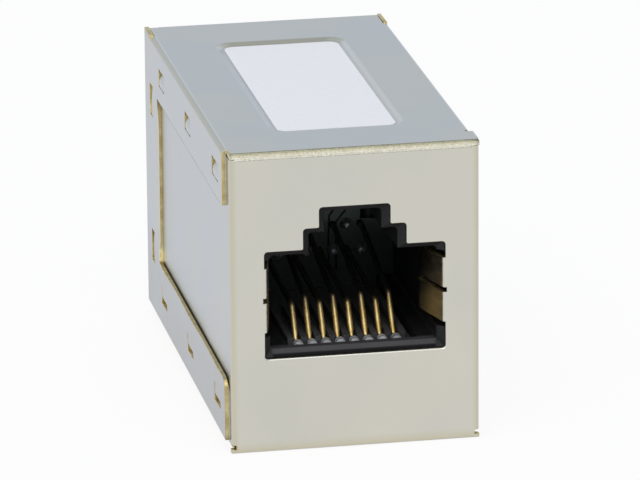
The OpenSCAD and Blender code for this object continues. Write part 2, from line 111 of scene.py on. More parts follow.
# %% Turn arrays into an object
def make_piece(name, points, faces, finishes, normals=None, finish_of_face=None):
    """Mesh object from points (n, 3) in millimetres and faces (m, 3 or 4), with smooth shading."""
    mesh = bpy.data.meshes.new(name)
    mesh.from_pydata((np.asarray(points) * MM).tolist(), [], np.asarray(faces).tolist())
    for finish in finishes:
        mesh.materials.append(finish)
    if finish_of_face is not None:
        mesh.polygons.foreach_set("material_index", np.asarray(finish_of_face, np.int32))
    mesh.polygons.foreach_set("use_smooth", np.ones(len(mesh.polygons), bool))
    mesh.update()
    if normals is not None:
        mesh.normals_split_custom_set_from_vertices(np.asarray(normals).tolist())
    piece = bpy.data.objects.new(name, mesh)
    bpy.context.scene.collection.objects.link(piece)
    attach(piece, "root")
    print(name, len(mesh.vertices), "points", len(mesh.polygons), "faces")
    return piece


def unit(v):
    """Vectors along the last axis, scaled to length one; a zero vector stays zero."""
    length = np.linalg.norm(v, axis=-1, keepdims=True)
    return v / np.where(length > 1e-9, length, 1)


def grid_faces(rows, columns, closed=False):
    """Corner numbers of the quads of a grid; closed joins the last column to the first."""
    index = np.arange(rows * columns).reshape(rows, columns)
    if closed:
        index = np.concatenate([index, index[:, :1]], axis=1)
    return np.stack([index[:-1, :-1], index[:-1, 1:], index[1:, 1:], index[1:, :-1]], axis=-1).reshape(-1, 4)


# %% [markdown]
# ## Finishes
# The sheet is brass with a thin satin nickel plate, so its faces are silver and every edge that was
# cut after plating shows bare brass. One shader with metallic 1 serves both. A fine rolled grain and
# a slow cloudiness in roughness keep the panels from looking like computer chrome. Object coordinates
# are in metres, so the scales are large numbers.


# %% Node helpers
def feed(tree, node, inputs):
    """Give a node its inputs by name or number: an output is linked, a plain value is set on the socket."""
    for key, value in inputs.items():
        if isinstance(value, bpy.types.NodeSocket):
            tree.links.new(value, node.inputs[key])
        else:
            node.inputs[key].default_value = value
    return node


def add_node(tree, kind, inputs, **settings):
    """New shader node of a kind, with its settings and then its inputs."""
    node = tree.nodes.new("ShaderNode" + kind)
    for name, value in settings.items():
        setattr(node, name, value)
    return feed(tree, node, inputs)


def new_finish(name):
    """A material with a Principled shader: returns the material and its node tree."""
    finish = bpy.data.materials.new(name)
    finish.use_nodes = True
    return finish, finish.node_tree


def coat(finish, inputs):
    """Feed the Principled shader of a finish, and return the finish."""
    feed(finish.node_tree, finish.node_tree.nodes["Principled BSDF"], inputs)
    return finish


def noise(tree, scale, stretch=(1, 1, 1), detail=3.0):
    """Noise on Object coordinates, with cells of 1 / scale millimetres, stretched along the axes."""
    where = add_node(tree, "TexCoord", {}).outputs["Object"]
    mapping = add_node(tree, "Mapping", {"Vector": where, "Scale": [scale / MM / s for s in stretch]})
    inputs = {"Vector": mapping.outputs["Vector"], "Scale": 1.0, "Detail": detail}
    return add_node(tree, "TexNoise", inputs).outputs["Fac"]


def rise(tree, value, start, full, low_value=0.0, high_value=1.0):
    """Smooth step of a value: low at start and high at full, which may lie below start."""
    span = {"Value": value, "From Min": start, "From Max": full, "To Min": low_value, "To Max": high_value}
    return add_node(tree, "MapRange", span, interpolation_type="SMOOTHSTEP").outputs["Result"]


def spread(tree, value, low_value, high_value):
    """Map a noise value from its usual span of 0.3 to 0.7 to a range."""
    return rise(tree, value, 0.3, 0.7, low_value, high_value)


def mix_in(tree, share, colour, other):
    """A colour mixed towards another by a share from 0 to 1; a plain colour is red, green and blue."""
    first, second = (c if isinstance(c, bpy.types.NodeSocket) else (*c, 1) for c in (colour, other))
    mix = add_node(tree, "Mix", {}, data_type="RGBA")
    return feed(tree, mix, {"Factor": share, "A": first, "B": second}).outputs["Result"]


def blend_colours(tree, value, first, second):
    """Two plain colours mixed by a noise value."""
    return mix_in(tree, spread(tree, value, 0, 1), first, second)


def bump(tree, height, depth):
    """Normal of a surface that a height value raises by up to a depth in millimetres."""
    inputs = {"Height": height, "Strength": 1.0, "Distance": depth * MM}
    return add_node(tree, "Bump", inputs).outputs["Normal"]


# %% [markdown]
# Some finishes change from place to place. Object coordinates say where a point of the part is, and
# smooth steps between two levels turn that into a share from 0 to 1.


# %% Shares by place
def reckon(tree, operation, *values):
    """One Math node on one or two values."""
    return add_node(tree, "Math", dict(enumerate(values)), operation=operation).outputs["Value"]


def part_place(tree):
    """Distances from the part's middle planes and the height, from Object coordinates: |x|, |y|, z."""
    where = add_node(tree, "TexCoord", {}).outputs["Object"]
    parts = add_node(tree, "SeparateXYZ", {"Vector": where}).outputs
    return reckon(tree, "ABSOLUTE", parts["X"]), reckon(tree, "ABSOLUTE", parts["Y"]), parts["Z"]


def rise_mm(tree, value, start, full):
    """Smooth step of a length: 0 at start and 1 at full, both in millimetres."""
    return rise(tree, value, start * MM, full * MM)


def between(tree, value, lower, upper, soft):
    """1 between two levels in millimetres, with soft ends of a width outside them."""
    up = rise_mm(tree, value, lower - soft, lower)
    down = rise_mm(tree, value, upper + soft, upper)
    return reckon(tree, "MULTIPLY", up, down)


# %% [markdown]
# Colour painted by place stands in for light and shade: painted shade darkens the folds, a painted highlight
# runs along the top where its left fold starts, and painted shade makes the outermost panels a little darker
# low down.


# %% Satin nickel
def painted_fold_shade(tree):
    """Share of painted shade: 1 where the sheet is bent round the plates' outer edges and over the top left.
    Each band is a coordinate, where the painted shade starts and where it is full."""
    x, y, z = part_place(tree)
    bands = [(x, plate_w / 2 - 0.6, plate_w / 2 - 0.12), (z, 0.95, 0.12), (y, y_rear - 0.3, y_rear - 0.02),
             (x, out_w / 2 - 0.37, out_w / 2 - 0.22), (z, shield_h - 0.37, shield_h - 0.22)]
    side, low_edge, plate, outer, upper = [rise_mm(tree, *band) for band in bands]
    rim = reckon(tree, "MULTIPLY", reckon(tree, "MAXIMUM", side, low_edge), plate)
    return reckon(tree, "MAXIMUM", rim, reckon(tree, "MULTIPLY", outer, upper))


def plated_sheet():
    """Satin nickel: warm silver in slow clouds, with painted shade at the folds and low down, and painted
    highlights on the top's bend and on the recess's sloping sides.
    """
    finish, tree = new_finish("satin_nickel")
    clouds, grain = noise(tree, 0.12, detail=2), noise(tree, 9.0, stretch=(1, 14, 1))
    x, _, z = part_place(tree)
    bend_x, line_w = out_w / 2 - fold_ro, 0.06
    on_top = rise_mm(tree, z, shield_h - 0.15, shield_h - 0.05)
    # Painted highlight: a pale line on the top where the left fold starts.
    painted_bend_highlight = reckon(tree, "MULTIPLY", between(tree, x, bend_x - line_w, bend_x, 0.05), on_top)
    # Painted shade: the outermost panels are darkened low down.
    outermost = rise_mm(tree, x, out_w / 2 - 0.1, out_w / 2 - 0.03)
    painted_low_shade = reckon(tree, "MULTIPLY", outermost, rise_mm(tree, z, 9.0, 4.0))
    # Painted highlight on the recess's sloping sides, read from a stored share.
    painted_ramp_highlight = add_node(tree, "Attribute", {}, attribute_name="ramp_highlight").outputs["Fac"]
    colour = blend_colours(tree, clouds, (0.63, 0.615, 0.555), (0.67, 0.64, 0.56))
    # Painted shade at the folds and low on the outermost panels, painted highlights along the top's bend and
    # on the recess's sloping sides.
    for share, tint in ((painted_fold_shade(tree), (0.60, 0.56, 0.44)), (painted_bend_highlight, (0.74, 0.73, 0.67)),
                        (painted_low_shade, (0.58, 0.55, 0.48)), (painted_ramp_highlight, (0.74, 0.72, 0.66))):
        colour = mix_in(tree, share, colour, tint)
    return coat(finish, {"Base Color": colour, "Metallic": 1.0, "Specular Tint": (0.80, 0.85, 0.98, 1),
                         "Roughness": spread(tree, clouds, 0.285, 0.33), "Normal": bump(tree, grain, 0.0002)})


nickel = plated_sheet()
print("finish", nickel.name)

# %% [markdown]
# Where the sheet was cut, brass shows. A shear leaves three bands: a rolled edge, a torn face and a fine
# burr. The long edge over the port is coloured by height: a painted highlight on the plate's roll and the
# torn face above it, and painted shade olive at the top. The ground fingers are rubbed by plugs and have gone
# dull, and painted shade darkens them far into the port.


# %% Cut edges and fingers
def cut_edge():
    """Sheared brass: yellow, torn in short grains; near the ports, plate is drawn over the inner part."""
    finish, tree = new_finish("sheared_brass")
    grains, blotches = noise(tree, 7.0, detail=4), noise(tree, 1.3, detail=2)
    x, y, _ = part_place(tree)
    inner_part = between(tree, x, plate_w / 2 - 0.01, out_w / 2 - 0.28, 0.02)
    drawn = reckon(tree, "MULTIPLY", inner_part, rise_mm(tree, y, y_rear - 2.1, y_rear - 1.7))
    colour = blend_colours(tree, blotches, (0.52, 0.40, 0.165), (0.68, 0.58, 0.31))
    return coat(finish, {"Base Color": mix_in(tree, drawn, colour, (0.62, 0.60, 0.53)), "Metallic": 1.0,
                         "Roughness": spread(tree, grains, 0.32, 0.5), "Normal": bump(tree, grains, 0.02)})


def bands_by_height(tree, low_z, high_z, stops):
    """Colours that follow the height between two levels; each stop is a share of the way and a colour."""
    span = {"Value": part_place(tree)[2], "From Min": low_z * MM, "From Max": high_z * MM}
    bands = add_node(tree, "ValToRGB", {"Fac": add_node(tree, "MapRange", span).outputs["Result"]})
    elements = bands.color_ramp.elements
    for share, _ in stops[1:-1]:
        elements.new(share)
    for element, (share, colour) in zip(elements, stops):
        element.position, element.color = share, (*colour, 1)
    return bands.outputs["Color"]


def rolled_edge_painted_light():
    """The long edge over the port, coloured by height: a painted highlight bright on the plate's roll and
    pale on the torn face above, and painted shade olive at the top.
    """
    finish, tree = new_finish("rolled_edge_painted_light")
    grains = noise(tree, 9.0)
    # Painted highlight bright on the plate's roll and pale above it, painted shade olive at the top.
    stops = [(0.0, (0.60, 0.58, 0.51)), (0.1, (0.62, 0.60, 0.53)), (0.25, (0.95, 0.91, 0.80)),
             (0.46, (0.95, 0.91, 0.80)), (0.52, (0.88, 0.82, 0.66)), (0.72, (0.80, 0.75, 0.58)),
             (0.84, (0.46, 0.44, 0.32)), (1.0, (0.44, 0.43, 0.34))]
    torn = add_node(tree, "Mix", {}, data_type="RGBA", blend_type="MULTIPLY")
    feed(tree, torn, {"Factor": 1.0, "A": bands_by_height(tree, plate_top - 0.28, shield_h, stops),
                      "B": blend_colours(tree, grains, (0.72, 0.70, 0.64), (1, 1, 1))})
    return coat(finish, {"Base Color": torn.outputs["Result"], "Metallic": 1.0,
                         "Roughness": spread(tree, grains, 0.3, 0.5), "Normal": bump(tree, grains, 0.05)})


def rubbed_and_shaded_finger():
    """Ground finger: dull plate, with streaks along the way that a plug slides, and painted shade darkening
    it far into the port.
    """
    finish, tree = new_finish("rubbed_and_shaded_finger")
    streaks = noise(tree, 3.0, stretch=(1, 6, 1))
    finger_shade_from, finger_shade_full = 1.3, 3.4
    # Painted shade: the finger is darkened far into the port.
    deep = rise_mm(tree, part_place(tree)[1], y_rear - finger_shade_from, y_rear - finger_shade_full)
    colour = blend_colours(tree, streaks, (0.42, 0.37, 0.285), (0.56, 0.49, 0.36))
    return coat(finish, {"Base Color": mix_in(tree, deep, colour, (0.12, 0.11, 0.10)), "Metallic": 1.0,
                         "Roughness": spread(tree, streaks, 0.28, 0.4), "Normal": bump(tree, streaks, 0.004)})


sheet_finishes = [nickel, cut_edge(), rolled_edge_painted_light(), rubbed_and_shaded_finger()]
NICKEL, CUT, ROLLED, RUBBED_AND_SHADED = range(len(sheet_finishes))
print("finishes", [finish.name for finish in sheet_finishes])

# %% [markdown]
# ## The shield: one blank, folded
# The shield is one piece of sheet. A box with a Solidify modifier would give it thickness, but not the
# windows, the reliefs or the tight folds. Here the outer face is made of patches: flat panels, and
# folds that turn the normal from one panel to the next about a small radius. Patches that share a
# seam use the same lines there, so they weld into one skin. The skin is then thickened, and every
# free edge gets a cross-section: rolled over on the punch's side, straight, and sharp on the other.


# %% Patches of sheet
def middles(lines):
    """Points halfway between neighbouring lines."""
    lines = np.asarray(lines)
    return (lines[1:] + lines[:-1]) / 2


def flat_patch(lines_a, lines_b, corner, along_a, along_b, normal, keep=None):
    """Grid corner + a along_a + b along_b with one normal; keep says which cells stay."""
    a, b = np.meshgrid(lines_a, lines_b, indexing="ij")
    points = corner + a[..., None] * along_a + b[..., None] * along_b
    normals = np.broadcast_to(normal, points.shape).copy()
    mid_a, mid_b = np.meshgrid(middles(lines_a), middles(lines_b), indexing="ij")
    return points, normals, np.ones(mid_a.shape, bool) if keep is None else keep(mid_a, mid_b)


def fold_patch(edge, normal_a, normal_b, radius, turn=np.pi / 2, steps=8):
    """Fold along an edge (n, 3): centre + radius (cos q normal_a + sin q normal_b), q from 0 to turn."""
    q = np.linspace(0, turn, steps + 1)
    turned = np.outer(np.cos(q), normal_a) + np.outer(np.sin(q), normal_b)
    centre = edge - radius * normal_a
    points = centre[:, None] + radius * turned[None]
    normals = np.broadcast_to(turned[None], points.shape).copy()
    return points, normals, np.ones((len(edge) - 1, steps), bool)


def press(patch, along_a, along_b, lines_a, lines_b, amount):
    """Push a flat patch along its normal by an amount per point, and tilt the normals by its slope."""
    points, normals, keep = patch
    slope_a, slope_b = np.gradient(amount, lines_a, lines_b)
    tilted = normals - slope_a[..., None] * along_a - slope_b[..., None] * along_b
    return points + amount[..., None] * normals, unit(tilted), keep


def mirrored(patch):
    """The same patch on the other side of X = 0."""
    flip = np.array([-1, 1, 1])
    return patch[0] * flip, patch[1] * flip, patch[2]


def weld(patches):
    """One skin from patches: points that coincide become one, with the mean of their normals. Points in one
    small cell count as one; the offset keeps round sizes off the cells' borders."""
    points, normals, quads, first = [], [], [], 0
    for p, n, keep in patches:
        index = np.arange(p.shape[0] * p.shape[1]).reshape(p.shape[:2]) + first
        corners = np.stack([index[:-1, :-1], index[1:, :-1], index[1:, 1:], index[:-1, 1:]], axis=-1)
        points.append(p.reshape(-1, 3))
        normals.append(n.reshape(-1, 3))
        quads.append(corners[keep])
        first += index.size
    points, normals, quads = np.concatenate(points), np.concatenate(normals), np.concatenate(quads)
    used = np.unique(quads)
    cell_size, offset = 1e-4, 0.37
    cell = np.floor(points[used] / cell_size + offset).astype(np.int64)
    _, pick, number = np.unique(cell, axis=0, return_index=True, return_inverse=True)
    number = number.ravel()
    total = np.zeros((len(pick), 3))
    np.add.at(total, number, normals[used])
    renumber = np.zeros(first, np.int64)
    renumber[used] = number
    points, normals, quads = points[used][pick], unit(total), renumber[quads]
    facing = np.cross(points[quads[:, 2]] - points[quads[:, 0]], points[quads[:, 3]] - points[quads[:, 1]])
    turned = (facing * normals[quads].mean(axis=1)).sum(axis=1) < 0
    quads[turned] = quads[turned][:, ::-1]
    return points, normals, quads


# %% [markdown]
# A free edge of the skin belongs to one quad only. The section of the cut is carried along all of them,
# and it is mitred where two free edges meet in a corner.


# %% Thickness and cut edges
def thicken(points, normals, quads, thickness, roll, burr):
    """Solid sheet from its outer skin, with a thickness and a roll for each point. Each free edge carries a
    cross-section: an arc of radius roll, a straight cut, and an arc of radius burr. Returns points, normals,
    quads and a flag for cut faces."""
    count = len(points)
    sides = np.concatenate([quads[:, [k, (k + 1) % 4]] for k in range(4)])
    _, where, times = np.unique(np.sort(sides, axis=1), axis=0, return_inverse=True, return_counts=True)
    free = sides[times[where.ravel()] == 1]
    outward = unit(np.cross(points[free[:, 1]] - points[free[:, 0]], normals[free].mean(axis=1)))
    reach = np.zeros((count, 3))
    np.add.at(reach, free[:, 0], outward)
    np.add.at(reach, free[:, 1], outward)
    square = (reach ** 2).sum(axis=1, keepdims=True)
    on_edge = square > 0.4
    mitre = np.where(on_edge, 2 * reach / np.where(on_edge, square, 1), 0)
    across = unit(mitre)
    rim = np.unique(free)
    slot = np.full(count, -1)
    slot[rim] = np.arange(len(rim))
    t, r = thickness[rim, None], roll[rim, None]
    section = [(-r * (1 - np.sin(q)), r * (1 - np.cos(q)), q) for q in np.radians([30, 60, 90])]
    section += [(-burr * (1 - np.cos(q)), t - burr * (1 - np.sin(q)), q + np.pi / 2)
                for q in np.radians([0, 45])]
    outer = points - roll[:, None] * mitre
    inner = points - thickness[:, None] * normals - burr * mitre
    rings = [points[rim] + a * mitre[rim] - b * normals[rim] for a, b, _ in section]
    ring_normals = [np.sin(q) * across[rim] + np.cos(q) * normals[rim] for _, _, q in section]
    all_points = np.concatenate([outer, inner] + rings)
    all_normals = np.concatenate([normals, -normals] + [unit(n) for n in ring_normals])
    numbers = [free] + [2 * count + k * len(rim) + slot[free] for k in range(len(section))] + [free + count]
    cut = [np.stack([p[:, 0], q[:, 0], q[:, 1], p[:, 1]], axis=1) for p, q in zip(numbers, numbers[1:])]
    faces = np.concatenate([quads, quads[:, ::-1] + count] + cut)
    return all_points, all_normals, faces, np.arange(len(faces)) >= 2 * len(quads)


# %% [markdown]
# The front and the rear plate are flat, but their port cut-outs are stepped, so no plain grid fits.
# Rays from a point inside the cut-out see its whole outline, and each ray also meets the plate's
# rectangular border once. Quads between the two make the plate. Any line of a neighbouring panel can
# be asked for on the border, which adds a ray there.


# %% Plates with a stepped cut-out
plug_w, plug_h, plug_z = 12.0, 6.9, 7.45
latch_w, latch_h, thumb_w, thumb_h = 6.4, 1.55, 4.1, 1.5
cut_grow, cutout_r = 0.5, 0.25
finger_h, finger_slit, finger_z = 2.2, 0.35, 3.8
left_lean, right_lean = np.radians([12, 15.5])
finger_root = plug_w / 2 + cut_grow + fold_ro * np.sin(right_lean)
finger_mid = plug_z + finger_z
finger_low, finger_high = finger_mid - finger_slit / 2 - finger_h, finger_mid + finger_slit / 2
cavity_top = plug_z + plug_h
latch_top = cavity_top + latch_h
thumb_top = latch_top + thumb_h
seen_from = np.array([0, plug_z + plug_h / 2])


def cutout_outline():
    """Stepped outline as (x, z), counterclockwise, with rounded corners and notches for the fingers."""
    w = plug_w / 2 + cut_grow
    half = [(w, plug_z - cut_grow, cutout_r), (w, finger_low, 0), (finger_root, finger_low, 0),
            (finger_root, finger_low + finger_h, 0), (finger_root, finger_high, 0),
            (finger_root, finger_high + finger_h, 0), (w, finger_high + finger_h, 0),
            (w, cavity_top + cut_grow, cutout_r),
            (latch_w / 2 + cut_grow, cavity_top + cut_grow, cutout_r / 2),
            (latch_w / 2 + cut_grow, latch_top + cut_grow, cutout_r),
            (thumb_w / 2 + cut_grow, latch_top + cut_grow, cutout_r / 2),
            (thumb_w / 2 + cut_grow, thumb_top + cut_grow, cutout_r)]
    corners = np.array(half + [(-x, z, r) for x, z, r in half[::-1]])
    q = np.linspace(0, np.pi / 2, 6)
    outline = []
    for k, (x, z, r) in enumerate(corners):
        corner = np.array([x, z])
        if r == 0:
            outline.append(corner[None])
            continue
        into = unit(corner - corners[k - 1, :2])
        away = unit(corners[(k + 1) % len(corners), :2] - corner)
        outline.append(corner + r * (np.outer(np.sin(q) - 1, into) + np.outer(1 - np.cos(q), away)))
    return np.concatenate(outline)


def border_hits(points, border):
    """Where rays from the point inside the cut-out through others leave the rectangle x0, z0, x1, z1."""
    way = points - seen_from
    limits = np.where(way > 0, border[2:], border[:2])
    reach = np.min((limits - seen_from) / np.where(np.abs(way) < 1e-12, 1e-12, way), axis=1)
    return np.round(seen_from + reach[:, None] * way, 6)


def outline_hits(points, outline):
    """Where rays from the point inside the cut-out towards others cross a closed outline."""
    start, step = outline, np.roll(outline, -1, axis=0) - outline
    way = (points - seen_from)[:, None]
    cross = way[..., 0] * step[:, 1] - way[..., 1] * step[:, 0]
    gap = (start - seen_from)[None]
    safe = np.where(np.abs(cross) < 1e-12, 1e-12, cross)
    along = (gap[..., 0] * step[:, 1] - gap[..., 1] * step[:, 0]) / safe
    share = (gap[..., 0] * way[..., 1] - gap[..., 1] * way[..., 0]) / safe
    good = (along > 0) & (share > -1e-9) & (share < 1 + 1e-9) & (np.abs(cross) > 1e-12)
    pick = np.argmax(good, axis=1)
    return seen_from + along[np.arange(len(points)), pick][:, None] * way[:, 0]


def plate_with_cutout(border, asked):
    """Inner and outer points (n, 2) of a plate's quads, sorted by their rays' angle."""
    outline = cutout_outline()
    corners = np.array([[border[i], border[j]] for i in (0, 2) for j in (1, 3)])
    extra = np.round(np.concatenate([corners, asked]), 6)
    outer = np.concatenate([border_hits(outline, border), extra])
    inner = np.concatenate([outline, outline_hits(extra, outline)])
    angle = np.arctan2(*(outer - seen_from).T[::-1])
    _, order = np.unique(np.round(angle, 7), return_index=True)
    return inner[order], outer[order]


def plate_patch(rays, y, normal_y):
    """Patch of quads between the cut-out and the border, closed round the port."""
    inner, outer = (np.concatenate([r, r[:1]]) for r in rays)
    flat = np.stack([inner, outer], axis=1)
    points = np.stack([flat[..., 0], np.full(flat.shape[:2], y), flat[..., 1]], axis=-1)
    normals = np.broadcast_to(np.array([0.0, normal_y, 0.0]), points.shape).copy()
    return points, normals, np.ones((len(inner) - 1, 1), bool)


# %% [markdown]
# Now the lines. The left side panel carries small lances that spring out through windows in the panel
# over it, three along the top, three along the bottom and two near the rear. The right wall has three
# along the bottom, under a flange.

# %% Lines of the panels and windows
top_strip_h, low_strip_top, rear_strip_l = 4.1, 5.4, 5.3
top_setback, low_setback, panel_low = 1.1, 0.85, 0.85
rear_slot_l, lip_l, wall_in = 2.5, 2.2, 0.17
window_l, window_h, lance_gap = 2.4, 1.3, 0.02
lance_l, lance_h = window_l - 2 * lance_gap, window_h - 2 * lance_gap
lance_reach = window_h / 2 - 0.03
strip_rear, slot_y = y_rear - rear_strip_l, y_rear - rear_slot_l
window_y = np.linspace(y_front + 3.9, strip_rear - 2.3, 3)
top_window_z, low_window_z = shield_h - 2.15, 3.2
rear_window_y, rear_window_z = y_rear - 2.8, np.array([5.9, 17.3])
wall_x = plate_w / 2 - wall_in
left_fold_x, right_fold_x = out_w / 2 - fold_ro, wall_x - fold_ro
floor_x, rear_x = plate_w / 2 - sheet_t, plate_x - relief
wall_front, fold_end = y_front + lip_l + relief, slot_y - relief
side_z0, side_z1 = fold_ro + relief, plate_top - relief / 2
side_rear = y_rear - sheet_t - layer_gap


def lines(*groups):
    """All the numbers of some groups in order, each once."""
    return np.unique(np.round(np.concatenate([np.ravel(g) for g in groups]), 6))


def inside(values, first, last):
    """Those values that lie in a range, with its ends."""
    return values[(values > first - 1e-6) & (values < last + 1e-6)]


def spans(centres, size, steps=1):
    """Lines across equal spans round some centres."""
    return np.add.outer(np.ravel(centres), np.linspace(-size / 2, size / 2, steps + 1))


label_w, label_l, label_r, recess_d, recess_run = 8.6, 22.8, 0.8, 0.25, 0.5
label_at, label_room = np.array([-0.13, -0.4]), 0.15
recess_x, recess_y = label_w / 2 + label_room, label_l / 2 + label_room
border_steps = np.linspace(-1.3, recess_run + 0.25, 17)
recess_lines_x = label_at[0] + lines(recess_x + border_steps, -recess_x - border_steps)
recess_lines_y = label_at[1] + lines(recess_y + border_steps, -recess_y - border_steps)
front_border = np.array([-plate_x, fold_ro, plate_x, plate_top])
rear_border = np.array([-plate_w / 2, fold_ro, wall_x - sheet_t - layer_gap, shield_h - fold_ro])
front_own, rear_own = (border_hits(cutout_outline(), border) for border in (front_border, rear_border))


def on_side(points, axis, value):
    """The other coordinate of the border points that lie on one side of a plate."""
    return points[np.abs(points[:, axis] - value) < 1e-5][:, 1 - axis]


bottom_x = lines(on_side(front_own, 1, fold_ro), inside(on_side(rear_own, 1, fold_ro), -rear_x, right_fold_x),
                 [-plate_w / 2, -floor_x, -plate_x, -rear_x, right_fold_x, plate_x, floor_x, left_fold_x,
                  plate_w / 2])
top_x = lines(inside(on_side(rear_own, 1, rear_border[3]), -rear_x, right_fold_x), recess_lines_x,
              [-left_fold_x, -rear_x, right_fold_x, plate_w / 2])
catch_z = lines(spans([top_window_z, low_window_z], lance_h), spans(rear_window_z, lance_l, 4))
catch_y = lines(spans(window_y, lance_l, 4), spans([rear_window_y], lance_h))
side_z = lines(inside(on_side(front_own, 0, plate_x), side_z0, side_z1), catch_z, [side_z0, side_z1])
panel_y = lines(recess_lines_y, spans(window_y, window_l), spans(window_y, lance_l, 4),
                spans([rear_window_y], window_h), np.linspace(y_front, y_rear - fold_ro, 41),
                [y_front + lip_l, wall_front, y_front + top_setback, y_front + low_setback,
                 strip_rear, fold_end, slot_y, y_rear])
bottom_y = lines(np.linspace(y_front + fold_ro, y_rear - fold_ro, 25), spans(window_y, window_l),
                 [y_front + fold_ro + relief, wall_front, slot_y])


def edge(*parts):
    """Points along an edge, from their coordinates: a line of numbers, or one number for all."""
    return np.stack(np.broadcast_arrays(*parts), axis=-1)


front_low = inside(bottom_x, -plate_x, plate_x)
rear_low = inside(bottom_x, -rear_x, right_fold_x)
rear_high = inside(top_x, -rear_x, right_fold_x)
front_asked = [edge(-plate_x, side_z), edge(plate_x, side_z), edge(front_low, fold_ro)]
rear_asked = [edge(rear_low, fold_ro), edge(rear_high, rear_border[3])]
front_rays = plate_with_cutout(front_border, np.concatenate(front_asked))
rear_rays = plate_with_cutout(rear_border, np.concatenate(rear_asked))
print("front plate", len(front_rays[0]), "rays, rear plate", len(rear_rays[0]), "rays")

# %% [markdown]
# The front plate comes first, with the left side panel and a short lip on the right, both folded back
# from it. A lance ramps out of the panel and then lies flush in its window.

# %% Front plate, side panel and lip
RIGHT, BACK, UP = np.eye(3)
lance_out = sheet_t + layer_gap
gentle, steep = {"run": 0.72, "crown": 0.12}, {"run": 0.4, "crown": 0.03}


def ramp(t):
    """Smooth step from 0 to 1."""
    t = np.clip(t, 0, 1)
    return t * t * (3 - 2 * t)


def in_spans(values, centres, size):
    """True where a value lies within half a size of one of the centres."""
    return (np.abs(np.subtract.outer(values, np.ravel(centres))) < size / 2).any(axis=-1)


def row_cells(y, z, heights, l, h):
    """Cells that lie in the catches along a side, l long and h high, at some heights."""
    return in_spans(y, window_y, l) & in_spans(z, heights, h)


def catch_cells(y, z, l, h):
    """Cells of a left panel that lie in its catches, l long and h across."""
    rows = row_cells(y, z, [top_window_z, low_window_z], l, h)
    return rows | (in_spans(y, [rear_window_y], h) & in_spans(z, rear_window_z, l))


def left_patch(x, y, z, keep=None):
    """Flat patch on the left at -x, over lines of y and z."""
    return flat_patch(y, z, np.array([-x, 0, 0]), BACK, UP, -RIGHT, keep)


def lance_lines(values, centre):
    """Those lines that run across one lance."""
    return inside(values, centre - lance_l / 2, centre + lance_l / 2)


def lance_patch(x, across, hinge, free, upright, run, crown):
    """Lance on the left at -x, from its hinge line to its free edge: a ramp over a share run, then flush. Its
    ends lie lower by a share crown."""
    t = np.linspace(0, 1, 11)
    way = hinge + (free - hinge) * t
    share = (across - across.mean()) / np.ptp(across) * 2
    amount = lance_out * np.outer(1 - crown * share ** 4, ramp(t / run))
    along_a, along_b = (UP, BACK) if upright else (BACK, UP)
    patch = flat_patch(across, way, np.array([-x, 0, 0]), along_a, along_b, -RIGHT)
    return press(patch, along_a, along_b, across, way, amount)


def side_fold():
    """Fold along the front plate's left edge."""
    return fold_patch(edge(-plate_x, y_front, side_z), -BACK, -RIGHT, fold_ro)


def side_panel():
    """The panel behind the left fold, with its lances."""
    y = lines([y_front + fold_ro, side_rear], catch_y)
    x, half = plate_w / 2, lance_h / 2
    patches = [left_patch(x, y, side_z, lambda a, b: ~catch_cells(a, b, lance_l, lance_h))]
    for centre in window_y:
        across = lance_lines(y, centre)
        patches += [lance_patch(x, across, top_window_z + half, top_window_z - lance_reach, False, **gentle),
                    lance_patch(x, across, low_window_z - half, low_window_z + lance_reach, False, **steep)]
    for centre in rear_window_z:
        across, hinge, free = lance_lines(side_z, centre), rear_window_y + half, rear_window_y - lance_reach
        patches.append(lance_patch(x, across, hinge, free, True, **gentle))
    return patches


def lip():
    """Short lip behind the fold, drawn on the left."""
    return left_patch(plate_w / 2, [y_front + fold_ro, y_front + lip_l], side_z)


skin = [plate_patch(front_rays, y_front, -1), side_fold(), mirrored(side_fold()), mirrored(lip())]
skin += side_panel()
print("front layer", len(skin), "patches")

# %% [markdown]
# The ground fingers are folded in from the sides of each cut-out. They lean into the port and curl
# away at their tips, so that a plug's shell slides over them.

# %% Ground fingers
finger_l, tip_r, tip_turn, tip_l = 3.8, 0.6, np.radians(45), 0.6


def ground_fingers(rays, y, into, side):
    """Two fingers on one side of a port: a fold in from the cut-out, a leaning strip and a curled tip."""
    edge_z = rays[0][np.abs(rays[0][:, 0] - side * finger_root) < 1e-5][:, 1]
    normal = np.array([0, -into, 0.0])
    lean_turn = np.pi / 2 - (left_lean if side < 0 else right_lean)
    face = np.cos(lean_turn) * normal + np.sin(lean_turn) * RIGHT
    way = np.sin(lean_turn) * -normal + np.cos(lean_turn) * RIGHT
    bend_l = (tip_r + sheet_t / 2) * np.tan(tip_turn / 2)
    strip_l = finger_l - (fold_ro - sheet_t / 2) * np.tan(lean_turn / 2) - bend_l
    patches = []
    for base in (finger_low, finger_high):
        z = lines(inside(edge_z, base, base + finger_h))
        fold = fold_patch(edge(-finger_root, y, z), normal, RIGHT, fold_ro, lean_turn)
        strip = flat_patch([0, strip_l], z, fold[0][0, -1] * (1, 1, 0), way, UP, face)
        tip = fold_patch(strip[0][-1], face, way, tip_r + sheet_t, tip_turn, 6)
        tip_way = np.cos(tip_turn) * way - np.sin(tip_turn) * face
        end = flat_patch([0, tip_l - bend_l], z, tip[0][0, -1] * (1, 1, 0), tip_way, UP, tip[1][0, -1])
        patches += [fold, strip, tip, end]
    return patches if side < 0 else [mirrored(patch) for patch in patches]


for side in (-1, 1):
    skin += ground_fingers(front_rays, y_front, 1, side) + ground_fingers(rear_rays, y_rear, -1, side)
print("with ground fingers", len(skin), "patches")

# %% [markdown]
# From the front plate's lower edge the sheet runs under, up the rear and over the top. On the right the
# bottom carries a flange, outside the wall that hangs from the top.

